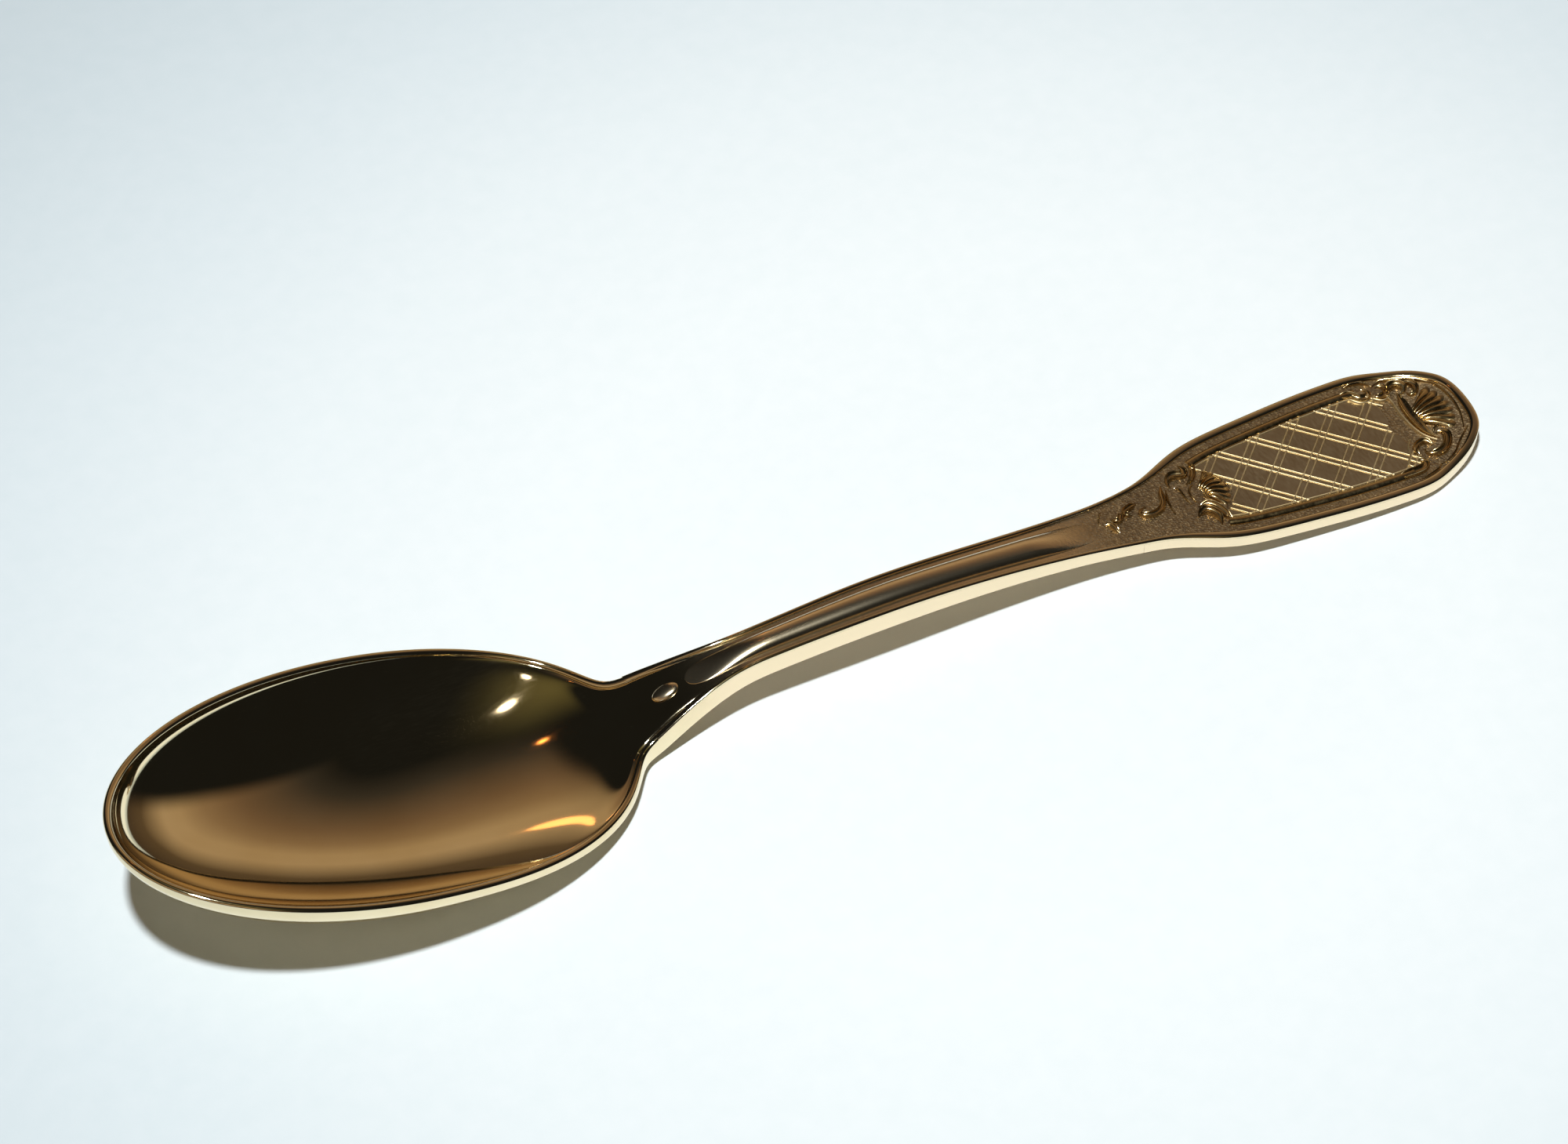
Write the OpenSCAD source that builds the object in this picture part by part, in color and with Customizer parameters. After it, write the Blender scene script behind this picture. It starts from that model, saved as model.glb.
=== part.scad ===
// Teaspoon with a fiddle-shaped handle end, struck and formed from one flat blank.
// The bowl's tip points to -X and the handle's end to +X, +Y is across and +Z is up.
// The origin lies under the middle of the spoon, on the surface that it rests on.
// All lengths are in millimetres.

/* [Overall] */
// Length from the bowl's tip to the handle's end
overall_l = 140; // [130:1:155]

/* [Bowl] */
// Length of the bowl's oval
bowl_l = 51.2; // [48:0.2:54]
// Greatest width of the bowl
bowl_w = 30.4; // [27:0.2:34]
// Distance from the bowl's tip to its widest place
widest_at = 26; // [24:0.5:28]
// Distance from the bowl's tip to its deepest place
deepest_at = 18; // [16:0.5:21]
// Depth of the hollow below the rim
bowl_depth = 6.85; // [6:0.05:8]
// Thickness of the bowl's metal
bowl_wall = 1.1; // [0.9:0.05:1.3]
// Width of the rim's flat top
rim_w = 0.8; // [0.6:0.05:1.1]
// Height of the rim at the bowl's tip
tip_rise = 13.1; // [12:0.1:14]
// Height of the rim at the bowl's widest place
side_rise = 7.3; // [7:0.1:8.5]
// Height of the rim at its lowest place, just before the neck
heel_rise = 2.3; // [2:0.1:3]
// Height of the top edge where the bowl ends
bowl_end_rise = 3.4; // [3.1:0.1:4.2]

/* [Neck and stem] */
// Length of the neck, from the bowl's oval to the plain stem
neck_l = 11; // [9:0.5:13]
// Width of the neck where it leaves the bowl
neck_w = 8.3; // [7:0.1:9.5]
// Width of the neck where it meets the stem
neck_end_w = 4.3; // [3.8:0.1:5]
// Thickness of the neck where it leaves the bowl
neck_t = 2.9; // [2.5:0.1:3.1]
// Height of the top edge where the neck meets the stem
neck_end_rise = 6; // [5.4:0.1:7]
// Height of the stem's top at its arch
arch_rise = 6.35; // [6:0.05:8]
// Width of the stem at its arch
waist_w = 4.7; // [4:0.1:5.5]
// Height of the stem's top where it comes down toward the terminal
descent_rise = 4.25; // [3.9:0.05:5]
// Width of the stem where it comes down toward the terminal
descent_w = 5.5; // [5:0.1:6]
// Thickness of the stem at its arch
stem_t = 2.7; // [2.3:0.1:3]
// Radius of the rounding under the stem and the terminal
under_r = 1.2; // [0.8:0.1:1.5]

/* [Terminal] */
// Length of the handle's broad end
terminal_l = 38; // [35:0.5:42]
// Greatest width of the handle's broad end
terminal_w = 16.2; // [15:0.2:18]
// Width of the stem where the broad end begins
shoulder_w = 6.8; // [6:0.1:7.6]
// Thickness of the handle's broad end
terminal_t = 1.7; // [1.5:0.05:2.2]

/* [Border and rib] */
// Height of the border and the rib's foot above the sunk ground
relief_h = 0.3; // [0.2:0.05:0.4]
// Width of the border along the stem
stem_border_w = 0.5; // [0.4:0.05:0.6]
// Width of the border round the terminal
border_w = 0.9; // [0.7:0.05:1.1]
// Bevel on the border's outer edge
bevel_w = 0.12; // [0.08:0.01:0.15]
// Distance from the neck's start to the rib's rounded front end
rib_start = 2; // [1:0.5:4]
// Distance from the terminal's start back to the rib's far end
rib_stop = 3.5; // [2:0.5:5]
// Width of the rib as a share of the ground between the borders
rib_w_share = 0.68; // [0.55:0.01:0.75]
// Height of the rib over the ground
rib_h = 0.75; // [0.5:0.05:0.9]

/* [Panel] */
// Distance from the terminal's edge to the panel's frame
frame_inset = 1.7; // [1.5:0.1:2]
// Width of the panel's rounded frame
frame_w = 1; // [0.8:0.05:1.2]
// Height of the panel's frame over the ground
frame_h = 0.34; // [0.25:0.01:0.45]
// Distance from the panel's start to its frame
frame_start_gap = 1.2; // [1:0.1:2]
// Distance from the frame to the panel's end
frame_end_gap = 2.8; // [2.6:0.1:3.4]
// Distance from the terminal's start to the panel
panel_start = 8.8; // [8:0.2:10]
// Distance from the handle's end back to the panel
panel_back = 8; // [7.6:0.1:8.4]
// Height of the panel over the ground
panel_h = 0.12; // [0.08:0.01:0.16]
// Distance between neighbouring crossings of the trellis along the handle
trellis_pitch = 4.33; // [3.8:0.1:5]
// Distance between the two lines of one strap
strap_gap = 0.64; // [0.5:0.02:0.8]
// Width of one line of a strap
line_w = 0.2; // [0.15:0.01:0.25]
// Height of the straps over the panel
strap_h = 0.14; // [0.1:0.01:0.2]
// Distance from the panel's end back to its last crossing
crossing_back = 0.8; // [0:0.1:2]

/* [Shells and scrolls] */
// Distance from the handle's end to the point that the end shell's ribs fan out from
tip_shell_back = 7.2; // [6.8:0.1:7.6]
// Radius of the end shell
tip_shell_r = 5; // [4.4:0.1:5.2]
// Distance from the terminal's start to the point that the base shell's ribs fan out from
base_shell_at = 7.6; // [7:0.1:8]
// Radius of the base shell
base_shell_r = 3.4; // [3:0.1:3.6]
// Height of the shells over the ground
shell_h = 0.62; // [0.45:0.01:0.7]
// Width of a scroll at its fullest
scroll_w = 0.8; // [0.6:0.05:0.9]
// Height of the scrolls over the ground
scroll_h = 0.5; // [0.4:0.01:0.6]

/* [Hidden] */

// How steeply the top edge runs at its stations, as rise over run
tip_slope_share = -0.19;
side_slope_share = -0.24;
heel_slope_share = -0.12;
bowl_end_slope_share = 0.36;
neck_end_slope_share = 0.04;
descent_slope_share = -0.13;
end_slope_share = -0.05;
// Place of the rim's lowest point, as a share of the bowl's length
heel_share = 0.928;
// Places of the arch and of the descent along the stem
arch_share = 0.296;
descent_share = 0.85;
// How quickly the half-width of the neck shrinks and that of the stem grows, over the run
neck_taper_share = -0.27;
stem_taper_share = 0.01;
descent_taper_share = 0.065;
// Thickness at the heel as a share of the bowl's, and how steeply it grows there
heel_wall_share = 1.3;
heel_swell_share = 0.03;
// Fullness of the bowl's cross-section and of its lengthwise curve
cross_power_share = 2;
cross_root_share = 0.65;
tip_root_share = 0.55;
heel_root_share = 2;
// Fullness of the oval toward the neck, and its length as a share of the bowl's
oval_power_share = 2.3;
oval_root_share = 0.45;
oval_share = 0.969;
// Height of the side wall as a share of the thickness
bowl_side_share = 0.75;
handle_side_share = 0.82;
// How blunt the rib's ends are
rib_end_power = 12;
// Reach of the fillet between the bowl and the neck
heel_fillet = 3;
// Half the width of the blunt facet at the bowl's tip
tip_facet = 0.4;
// Least share of a narrow section's half-width that lies inside the rim
inside_share = 0.4;
// Counts of points and sections
round_n = 8;
bowl_n = 30;
neck_n = 8;
stem_n = 14;
edge_n = 4;
border_swell_n = 16;
round_facets = 48;
scroll_n = 24;
shell_n = 7;
rib_cols = 4;
// Outline of the shoulders: places along the terminal and widths between shoulder and full width
shoulder_shares = [[-0.06, -0.08], [0, 0], [0.06, 0.08], [0.11, 0.23], [0.157, 0.41], [0.207, 0.59],
    [0.28, 0.745], [0.42, 0.86], [0.57, 0.97]];
// Outline of the end: places along the terminal and shares of its full half-width
end_shares = [[0.69, 1], [0.777, 0.995], [0.845, 0.875], [0.914, 0.745], [0.963, 0.56]];
nose_share = 0.355;
// Shells: half their spread, their ribs, how far in they start, furrows, scallops and swell
tip_spread = 42;
tip_ribs = 9;
base_spread = 50;
base_ribs = 7;
inner_share = 0.22;
furrow_share = 0.5;
scallop_share = 0.12;
swell_power = 0.7;
// Notch that the panel leaves round the end shell, as a share of the shell's radius
tip_notch_share = 0.36;
// Slighter scrolls, as shares of the full width and height, and where along it a scroll is fullest
curl_w_share = 0.75;
curl_h_share = 0.85;
scroll_full_share = 0.4;
band_full_share = 0.5;
// Lead points of the scrolls, as shares of the terminal's half-width, from its end or its start
tip_scroll_shares = [[-0.585, 0.27], [-0.525, 0.44], [-0.66, 0.61], [-0.89, 0.66], [-1.06, 0.56],
    [-1.06, 0.4], [-0.915, 0.34], [-0.83, 0.44]];
tip_curl_shares = [[-1.11, 0.67], [-1.11, 0.78], [-1.245, 0.805], [-1.305, 0.695], [-1.245, 0.62]];
tip_band_shares = [[-0.76, 0.4], [-0.84, 0.2], [-0.855, 0], [-0.84, -0.2], [-0.76, -0.4]];
base_scroll_shares = [[1.085, 0.46], [0.975, 0.51], [0.83, 0.47], [0.78, 0.35], [0.87, 0.26], [0.96, 0.32]];
tendril_shares = [[[0.79, 0.06], [0.68, -0.12], [0.5, -0.14], [0.4, -0.02], [0.46, 0.09], [0.54, 0.06]],
    [[0.31, -0.12], [0.22, 0.06], [0.07, 0.1], [-0.01, -0.01], [0.05, -0.11], [0.13, -0.08]],
    [[-0.1, 0], [-0.2, 0.03], [-0.32, -0.02], [-0.45, 0]]];

joint_x = overall_l - terminal_l;
stem_x = bowl_l + neck_l;
arch_at = stem_x + (joint_x - stem_x) * arch_share;
descent_at = stem_x + (joint_x - stem_x) * descent_share;
rake = sqrt(1 + end_slope_share * end_slope_share);
tilt = atan(-end_slope_share);
plate_l = terminal_l * rake;
end_rise = (terminal_t + under_r * end_slope_share) / rake;
joint_rise = end_rise - end_slope_share * terminal_l;
tip_pivot = plate_l - tip_shell_back;
panel_end = plate_l - panel_back;

function ease(u) = let(v = min(max(u, 0), 1)) v * v * (3 - 2 * v);
function mix(a, b, u) = a + (b - a) * u;
function flat(lists) = [for (part = lists) each part];

// A curve through stations, each a place, a value and a slope
function between(u, run, a, b) =
    let(c = u * u * (3 - 2 * u))
    mix(a[1], b[1], c) + run * u * (1 - u) * ((1 - u) * a[2] - u * b[2]);
function along(x, s, i = 0) =
    i < len(s) - 2 && x > s[i + 1][0] ? along(x, s, i + 1)
    : let(run = s[i + 1][0] - s[i][0]) between((x - s[i][0]) / run, run, s[i], s[i + 1]);

// Height of the spoon's top edge over its resting surface
edge_stations = [[0, tip_rise, tip_slope_share], [widest_at, side_rise, side_slope_share],
    [bowl_l * heel_share, heel_rise, heel_slope_share], [bowl_l, bowl_end_rise, bowl_end_slope_share],
    [stem_x, neck_end_rise, neck_end_slope_share], [arch_at, arch_rise, 0],
    [descent_at, descent_rise, descent_slope_share],
    [joint_x, joint_rise, end_slope_share], [overall_l, end_rise, end_slope_share]];
function edge_z(x) = along(x, edge_stations);
step = overall_l / 1000;
function edge_slope(x) = (edge_z(x + step) - edge_z(x - step)) / (2 * step);

// Thickness of the metal, and the depth of the hollow over it
wall_stations = [[0, bowl_wall, 0], [widest_at, bowl_wall, 0],
    [bowl_l * heel_share, bowl_wall * heel_wall_share, heel_swell_share], [bowl_l, neck_t, 0],
    [arch_at, stem_t, 0], [joint_x, terminal_t, 0], [overall_l, terminal_t, 0]];
function wall(x) = along(x, wall_stations);
hollow_end = bowl_l + rim_w;
function hollow(x) =
    x <= rim_w || x >= hollow_end ? 0
    : x < deepest_at ? bowl_depth * pow(1 - pow((deepest_at - x) / (deepest_at - rim_w), 2), tip_root_share)
    : bowl_depth * pow(1 - pow((x - deepest_at) / (hollow_end - deepest_at), 2), heel_root_share);
function side(x) = wall(x) * mix(bowl_side_share, handle_side_share, ease((x - widest_at) / widest_at));
function sunk(x) = relief_h * ease((x - bowl_l) / rib_start);

// Lead points of the terminal's outline, along its plane from its start
lead_points = concat([for (s = shoulder_shares) [plate_l * s[0], mix(shoulder_w, terminal_w, s[1]) / 2]],
    [for (s = end_shares) [plate_l * s[0], terminal_w / 2 * s[1]]]);
shoulder_run = lead_points[2] - lead_points[0];
shoulder_taper = shoulder_run[1] / shoulder_run[0];

// Half-width of the outline: an egg-shaped oval blended into the neck
function oval(x) =
    x < widest_at ? bowl_w / 2 * sqrt(max(1 - pow(x / widest_at - 1, 2), 0))
    : let(q = 1 - pow((x - widest_at) / (bowl_l * oval_share - widest_at), oval_power_share))
    bowl_w / 2 * (q > 0 ? pow(q, oval_root_share) : -pow(-q, oval_root_share));
width_stations = [[0, neck_w / 2, 0], [bowl_l - neck_l / 2, neck_w / 2, 0],
    [bowl_l, neck_w / 2, neck_taper_share], [stem_x, neck_end_w / 2, 0],
    [arch_at, waist_w / 2, stem_taper_share], [descent_at, descent_w / 2, descent_taper_share],
    [joint_x, shoulder_w / 2, shoulder_taper]];
function fillet(a, b, reach) = max(a, b) + pow(max(reach - abs(a - b), 0), 2) / (4 * reach);
function half_w(x) =
    x < widest_at ? max(oval(x), tip_facet)
    : x > joint_x ? shoulder_w / 2
    : fillet(oval(x), along(x, width_stations), heel_fillet);

// A point of the handle: height is measured square to the top edge once past the bowl
function lean(x) = edge_slope(x) * ease((x - bowl_l) / neck_l);
function spot(x, y, h) = let(m = lean(x), q = sqrt(1 + m * m)) [x - h * m / q, y, max(edge_z(x) + h / q, 0)];

// Unit round of a cross-section: how far out, and how deep
out_shares = [for (k = [0:round_n]) sin(90 * k / round_n)];
deep_shares = [for (s = out_shares) pow(1 - pow(s, cross_power_share), cross_root_share)];
function under(x) = mix(half_w(x), under_r, ease((x - bowl_l + neck_l) / neck_l));
function right_side(x) =
    let(w = half_w(x), w_in = max(w - rim_w, w * inside_share), d = hollow(x), g = sunk(x),
        r = min(under(x), w), s = side(x), t = d + wall(x))
    concat([for (k = [0:round_n]) [w_in * out_shares[k], -g - d * deep_shares[k]]], [[w, -g]],
        [for (k = [round_n:-1:1]) [w - r * (1 - out_shares[k]), -s - (t - s) * deep_shares[k]]], [[0, -t]]);
function section(x) =
    let(p = right_side(x), n = len(p))
    concat([for (q = p) spot(x, q[0], q[1])], [for (i = [n - 2:-1:1]) spot(x, -p[i][0], p[i][1])]);

// A closed solid through rings of as many points each
function skin_faces(rings, size) = [for (i = [0:rings - 2], j = [0:size - 1])
    let(k = (j + 1) % size, a = i * size + j, b = i * size + k, c = b + size, d = a + size)
    each [[a, b, c], [a, c, d]]];
module skin(rings, cap = []) {
    n = len(rings);
    size = len(rings[0]);
    ends = len(cap) > 0 ? cap : [[for (j = [0:size - 1]) j]];
    first = [for (f = ends) [for (k = [len(f) - 1:-1:0]) f[k]]];
    last = [for (f = ends) [for (k = f) (n - 1) * size + k]];
    polyhedron(flat(rings), concat(skin_faces(n, size), first, last));
}
// End faces of a section, in columns from its top to its underside
section_n = 2 * round_n + 3;
function left(i) = i == 0 ? 0 : 2 * section_n - 2 - i;
section_cap = concat(
    [for (j = [0:round_n - 1]) let(b = section_n - 1 - j) each [[j, j + 1, b], [j + 1, b - 1, b]]],
    [[round_n, round_n + 1, round_n + 2]],
    [for (j = [0:round_n - 1]) let(b = section_n - 1 - j)
        each [[left(b), left(j + 1), left(j)], [left(b), left(b - 1), left(j + 1)]]],
    [[left(round_n + 2), left(round_n + 1), left(round_n)]]);
module placed() {
    translate([-overall_l / 2, 0, 0])
        children();
}
module loft(xs) {
    placed()
        skin([for (x = xs) section(x)], section_cap);
}

// The terminal's outline as a smooth curve, inset where asked
last_lead = lead_points[len(lead_points) - 1];
nose = [(24 * plate_l - last_lead[0]) / 23, terminal_w / 2 * nose_share];
leads = concat(lead_points, [nose, [nose[0], -nose[1]], [last_lead[0], -last_lead[1]]]);
function unit(v) = v / norm(v);
function inward(i) =
    i < 3 ? [0, -1]
    : let(a = unit(leads[i] - leads[i - 1]), b = unit(leads[i + 1] - leads[i]),
        n = unit([a[1] + b[1], -a[0] - b[0]]))
    n / (n * [a[1], -a[0]]);
inwards = [for (i = [0:len(leads) - 2])
    i == len(leads) - 2 ? [inward(i - 1)[0], -inward(i - 1)[1]] : inward(i)];
function blend(a, b, c, d, u) =
    (pow(1 - u, 3) * a + (3 * u * u * u - 6 * u * u + 4) * b + (1 + 3 * u * (1 + u * (1 - u))) * c
    + pow(u, 3) * d) / 6;
function rail(inset) =
    let(p = [for (i = [0:len(leads) - 2]) leads[i] + inwards[i] * inset],
        last = p[len(p) - 3], q = concat(p, [[last[0], -last[1]]]), n = len(p) - 3)
    concat([for (i = [0:n - 1], j = [0:edge_n - 1]) blend(q[i], q[i + 1], q[i + 2], q[i + 3], j / edge_n)],
        [for (j = [0:edge_n / 2]) blend(q[n], q[n + 1], q[n + 2], q[n + 3], j / edge_n)]);
rail_last = (len(leads) - 4) * edge_n + edge_n / 2;
function seat(p, h) = [joint_x + (p[0] - h * end_slope_share) / rake, p[1],
    max(joint_rise + (p[0] * end_slope_share + h) / rake, 0)];
function mirrored(p) = [p[0], -p[1], p[2]];

module both_sides() {
    for (s = [1, -1])
        scale([1, s, 1])
            children();
}

module bowl() {
    color("#c9ab74")
        loft([for (i = [0:bowl_n]) bowl_l * (1 - cos(180 * i / bowl_n)) / 2]);
}

module neck() {
    color("#bfa068")
        loft([for (i = [0:neck_n]) bowl_l + neck_l * i / neck_n]);
}

module stem() {
    color("#c9ab74")
        loft([for (i = [0:stem_n]) stem_x + (joint_x - stem_x) * i / stem_n]);
}

// The broad end: a plate with a sunk top, an upright side wall and a rounded underside
module terminal() {
    s = side(overall_l);
    rounding = [for (k = [0:round_n])
        [under_r * (1 - out_shares[k]), -s - (terminal_t - s) * deep_shares[k]]];
    profile = concat(rounding, [[0, -relief_h]]);
    rails = [for (p = profile) rail(p[0])];
    n = rail_last + 1;
    rings = [for (k = [0:len(profile) - 1]) concat(
        [for (i = [0:n - 1]) seat(rails[k][i], profile[k][1])],
        [for (i = [n - 2:-1:0]) mirrored(seat(rails[k][i], profile[k][1]))])];
    color("#b98d55")
        placed()
            skin(rings);
}

// A strip along both sides of the handle and round its end
function strip_ring(x, profile) = [for (p = profile) spot(x, half_w(x) - p[0] * stem_border_w, p[1])];
module border() {
    bevel = bevel_w / border_w;
    profile = [[1, -relief_h], [1 - bevel, 0], [bevel, 0], [0, -bevel_w], [0, -relief_h]];
    start = bowl_l + rib_start;
    xs = [for (i = [0:stem_n]) mix(start, joint_x, i / stem_n)];
    rails = [for (p = profile) rail(p[0] * stem_border_w)];
    wide = [for (p = profile) rail(p[0] * border_w)];
    n = rail_last + 1;
    stem_rings = [for (i = [0:stem_n - 1]) strip_ring(xs[i], profile)];
    end_rings = [for (i = [0:n - 1]) let(u = ease(i / border_swell_n))
        [for (k = [0:len(profile) - 1]) seat(mix(rails[k][i], wide[k][i], u), profile[k][1])]];
    half = concat(stem_rings, end_rings);
    rest = [for (i = [len(half) - 2:-1:0]) [for (p = half[i]) mirrored(p)]];
    color("#dcc08a")
        placed()
            skin(concat(half, rest));
}

// The half-round rib along the middle of the stem, with a rounded front end
module stem_rib() {
    start = bowl_l + rib_start;
    stop = joint_x - rib_stop;
    count = stem_n + round_n;
    color("#dcc08a")
        placed()
            skin([for (i = [0:count])
                let(u = (1 - cos(180 * i / count)) / 2, x = mix(start, stop, u),
                    full = sqrt(1 - pow(abs(2 * u - 1), rib_end_power)),
                    w = max((half_w(x) - stem_border_w) * rib_w_share * full, line_w),
                    h = max(rib_h * full, line_w))
                [for (a = [0:30:180]) spot(x, -w * cos(a), h * sin(a) - sunk(x))]]);
}

// What follows lies on the terminal's sunk ground, in its own plane
module on_terminal() {
    placed()
        translate([joint_x, 0, joint_rise])
            rotate([0, tilt, 0])
                translate([0, 0, -relief_h])
                    children();
}
panel_rail = rail(frame_inset + frame_w);
function picks(from, to) = [for (i = [0:len(panel_rail) - 1])
    if (panel_rail[i][0] >= from && panel_rail[i][0] <= to) i];
module panel_shape() {
    edge = [for (i = picks(panel_start, panel_end)) panel_rail[i]];
    difference() {
        polygon(concat(edge, [for (i = [len(edge) - 1:-1:0]) [edge[i][0], -edge[i][1]]]));
        translate([base_shell_at, 0])
            circle(base_shell_r, $fn = round_facets);
        translate([tip_pivot, 0])
            circle(tip_shell_r * tip_notch_share, $fn = round_facets);
    }
}
module panel() {
    color("#8a7458")
        on_terminal()
            linear_extrude(panel_h)
                panel_shape();
}

module panel_frame() {
    arc = [for (a = [180:-30:0]) [frame_inset + frame_w * (1 - cos(a)) / 2, frame_h * sin(a) - relief_h]];
    rails = [for (p = arc) rail(p[0])];
    color("#dcc08a")
        placed()
            both_sides()
                skin([for (i = picks(panel_start + frame_start_gap, panel_end - frame_end_gap))
                    [for (k = [0:len(arc) - 1]) seat(rails[k][i], arc[k][1])]]);
}

// Diamond trellis of double-line straps, crossing on the middle line, with a line round the panel
module trellis() {
    reach = panel_end - panel_start + terminal_w;
    rows = ceil(reach / trellis_pitch);
    color("#e3cf9c")
        on_terminal()
            translate([0, 0, panel_h])
                linear_extrude(strap_h)
                    union() {
                        intersection() {
                            panel_shape();
                            for (s = [-1, 1], i = [-rows:rows], d = [-1, 1])
                                translate([panel_end - crossing_back + i * trellis_pitch, 0])
                                    rotate(45 * s)
                                        translate([0, d * strap_gap / 2])
                                            square([reach, line_w], center = true);
                        }
                        difference() {
                            panel_shape();
                            offset(delta = -line_w)
                                panel_shape();
                        }
                    }
}

// A closed solid under a grid of points, down to the ground
module raised(grid) {
    rows = len(grid);
    cols = len(grid[0]);
    top = flat(grid);
    count = rows * cols;
    loop = concat([for (j = [0:cols - 1]) j], [for (i = [1:rows - 1]) i * cols + cols - 1],
        [for (j = [cols - 2:-1:0]) (rows - 1) * cols + j], [for (i = [rows - 2:-1:1]) i * cols]);
    size = len(loop);
    upper = [for (i = [0:rows - 2], j = [0:cols - 2])
        let(a = i * cols + j, b = a + 1, c = b + cols, d = a + cols)
        each [[a, b, c], [a, c, d]]];
    walls = [for (k = [0:size - 1])
        let(m = (k + 1) % size)
        each [[loop[k], count + k, count + m], [loop[k], count + m, loop[m]]]];
    polyhedron(concat(top, [for (k = loop) [top[k][0], top[k][1], 0]]),
        concat(upper, walls, [[for (k = [size - 1:-1:0]) count + k]]));
}

// A fluted fan: ribs spread from a point, swell and end in scallops
module shell(r, half_angle, ribs) {
    cols = ribs * rib_cols;
    function crest(j) = mix(furrow_share, 1, abs(sin(180 * ribs * j / cols)));
    function swell(u) = sin(180 * pow(u, swell_power));
    raised([for (i = [0:shell_n]) [for (j = [0:cols])
        let(a = mix(-half_angle, half_angle, j / cols), u = i / shell_n,
            q = r * mix(inner_share, 1 - scallop_share + scallop_share * crest(j), u))
        [q * cos(a), q * sin(a), max(shell_h * swell(u), line_w) * crest(j)]]]);
}

// A scroll: a half-round ridge along a smooth curve led by points, fullest at one place
function curve(leads, n) =
    let(p = concat([2 * leads[0] - leads[1]], leads, [2 * leads[len(leads) - 1] - leads[len(leads) - 2]]),
        spans = len(p) - 3)
    [for (k = [0:n])
        let(t = min(k * spans / n, spans - 1e-6), i = floor(t), u = t - i)
        blend(p[i], p[i + 1], p[i + 2], p[i + 3], u)];
function laid(p) = p[0] < 0 ? spot(joint_x + p[0] / rake, p[1], p[2] - relief_h) : seat(p, p[2] - relief_h);
module scroll(leads, full_at, slight = false, from = 0) {
    c = [for (p = curve(leads * terminal_w / 2, scroll_n)) [from + p[0], p[1]]];
    wide = scroll_w * (slight ? curl_w_share : 1);
    high = scroll_h * (slight ? curl_h_share : 1);
    skin([for (k = [0:scroll_n])
        let(d = unit(c[min(k + 1, scroll_n)] - c[max(k - 1, 0)]), u = k / scroll_n,
            f = u < full_at ? ease(u / full_at) : ease((1 - u) / (1 - full_at)),
            w = mix(line_w, wide / 2, f), h = mix(line_w, high, f))
        [for (a = [0:45:180])
            laid([c[k][0] + d[1] * w * cos(a), c[k][1] - d[0] * w * cos(a), h * sin(a)])]]);
}

module tip_shell() {
    color("#d8b877")
        on_terminal()
            translate([tip_pivot, 0, 0])
                shell(tip_shell_r, tip_spread, tip_ribs);
}

module tip_scrolls() {
    color("#d8b877")
        placed() {
            both_sides() {
                scroll(tip_scroll_shares, scroll_full_share, false, plate_l);
                scroll(tip_curl_shares, scroll_full_share, true, plate_l);
            }
            scroll(tip_band_shares, band_full_share, true, plate_l);
        }
}

module base_shell() {
    color("#d8b877")
        on_terminal()
            translate([base_shell_at, 0, 0])
                shell(base_shell_r, base_spread, base_ribs);
}

module base_scrolls() {
    color("#d8b877")
        placed()
            both_sides()
                scroll(base_scroll_shares, scroll_full_share);
}

module tendril() {
    color("#d8b877")
        placed()
            for (s = tendril_shares)
                scroll(s, scroll_full_share, true);
}

bowl();
neck();
stem();
terminal();
border();
stem_rib();
panel();
panel_frame();
trellis();
tip_shell();
tip_scrolls();
base_shell();
base_scrolls();
tendril();
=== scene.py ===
# %% [markdown]
# # A struck and gilded teaspoon
# A teaspoon is one blank of metal that two dies strike into a bowl, a neck, a stem and a broad handle
# end. Nothing on it is joined, so each piece made here is a skin that meets the next one without a
# gap.
#
# Polished metal is a mirror, and a mirror shows every facet and every jump of curvature. A primitive
# that is pushed into shape would show both. So most skins here are laid through close rows of points
# that smooth curves give, and Blender's operators weld them, turn their faces outward and shade them.

# %% The frame
import math

import bpy
import numpy as np
from mathutils import Matrix, Vector


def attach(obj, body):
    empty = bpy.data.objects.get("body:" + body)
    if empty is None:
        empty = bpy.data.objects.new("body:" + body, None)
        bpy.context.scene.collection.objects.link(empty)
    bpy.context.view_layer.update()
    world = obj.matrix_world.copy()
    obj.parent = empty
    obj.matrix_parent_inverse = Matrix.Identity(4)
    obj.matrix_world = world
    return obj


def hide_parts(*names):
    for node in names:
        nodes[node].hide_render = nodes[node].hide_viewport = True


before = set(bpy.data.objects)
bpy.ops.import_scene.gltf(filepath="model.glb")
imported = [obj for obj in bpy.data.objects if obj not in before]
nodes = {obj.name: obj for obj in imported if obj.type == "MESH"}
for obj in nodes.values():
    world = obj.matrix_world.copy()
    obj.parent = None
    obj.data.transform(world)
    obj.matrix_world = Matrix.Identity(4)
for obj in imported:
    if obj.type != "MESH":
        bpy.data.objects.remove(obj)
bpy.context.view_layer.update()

MM = 0.001
print("nodes:", ", ".join(sorted(nodes)))

# %% [markdown]
# ## Lengths
# A maker's drawing gives a spoon by its lengths, so the script starts with them too. They are in
# millimetres and are the same as in the CAD source. x counts from the bowl's tip, y from the middle
# line and z from the table.

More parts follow.
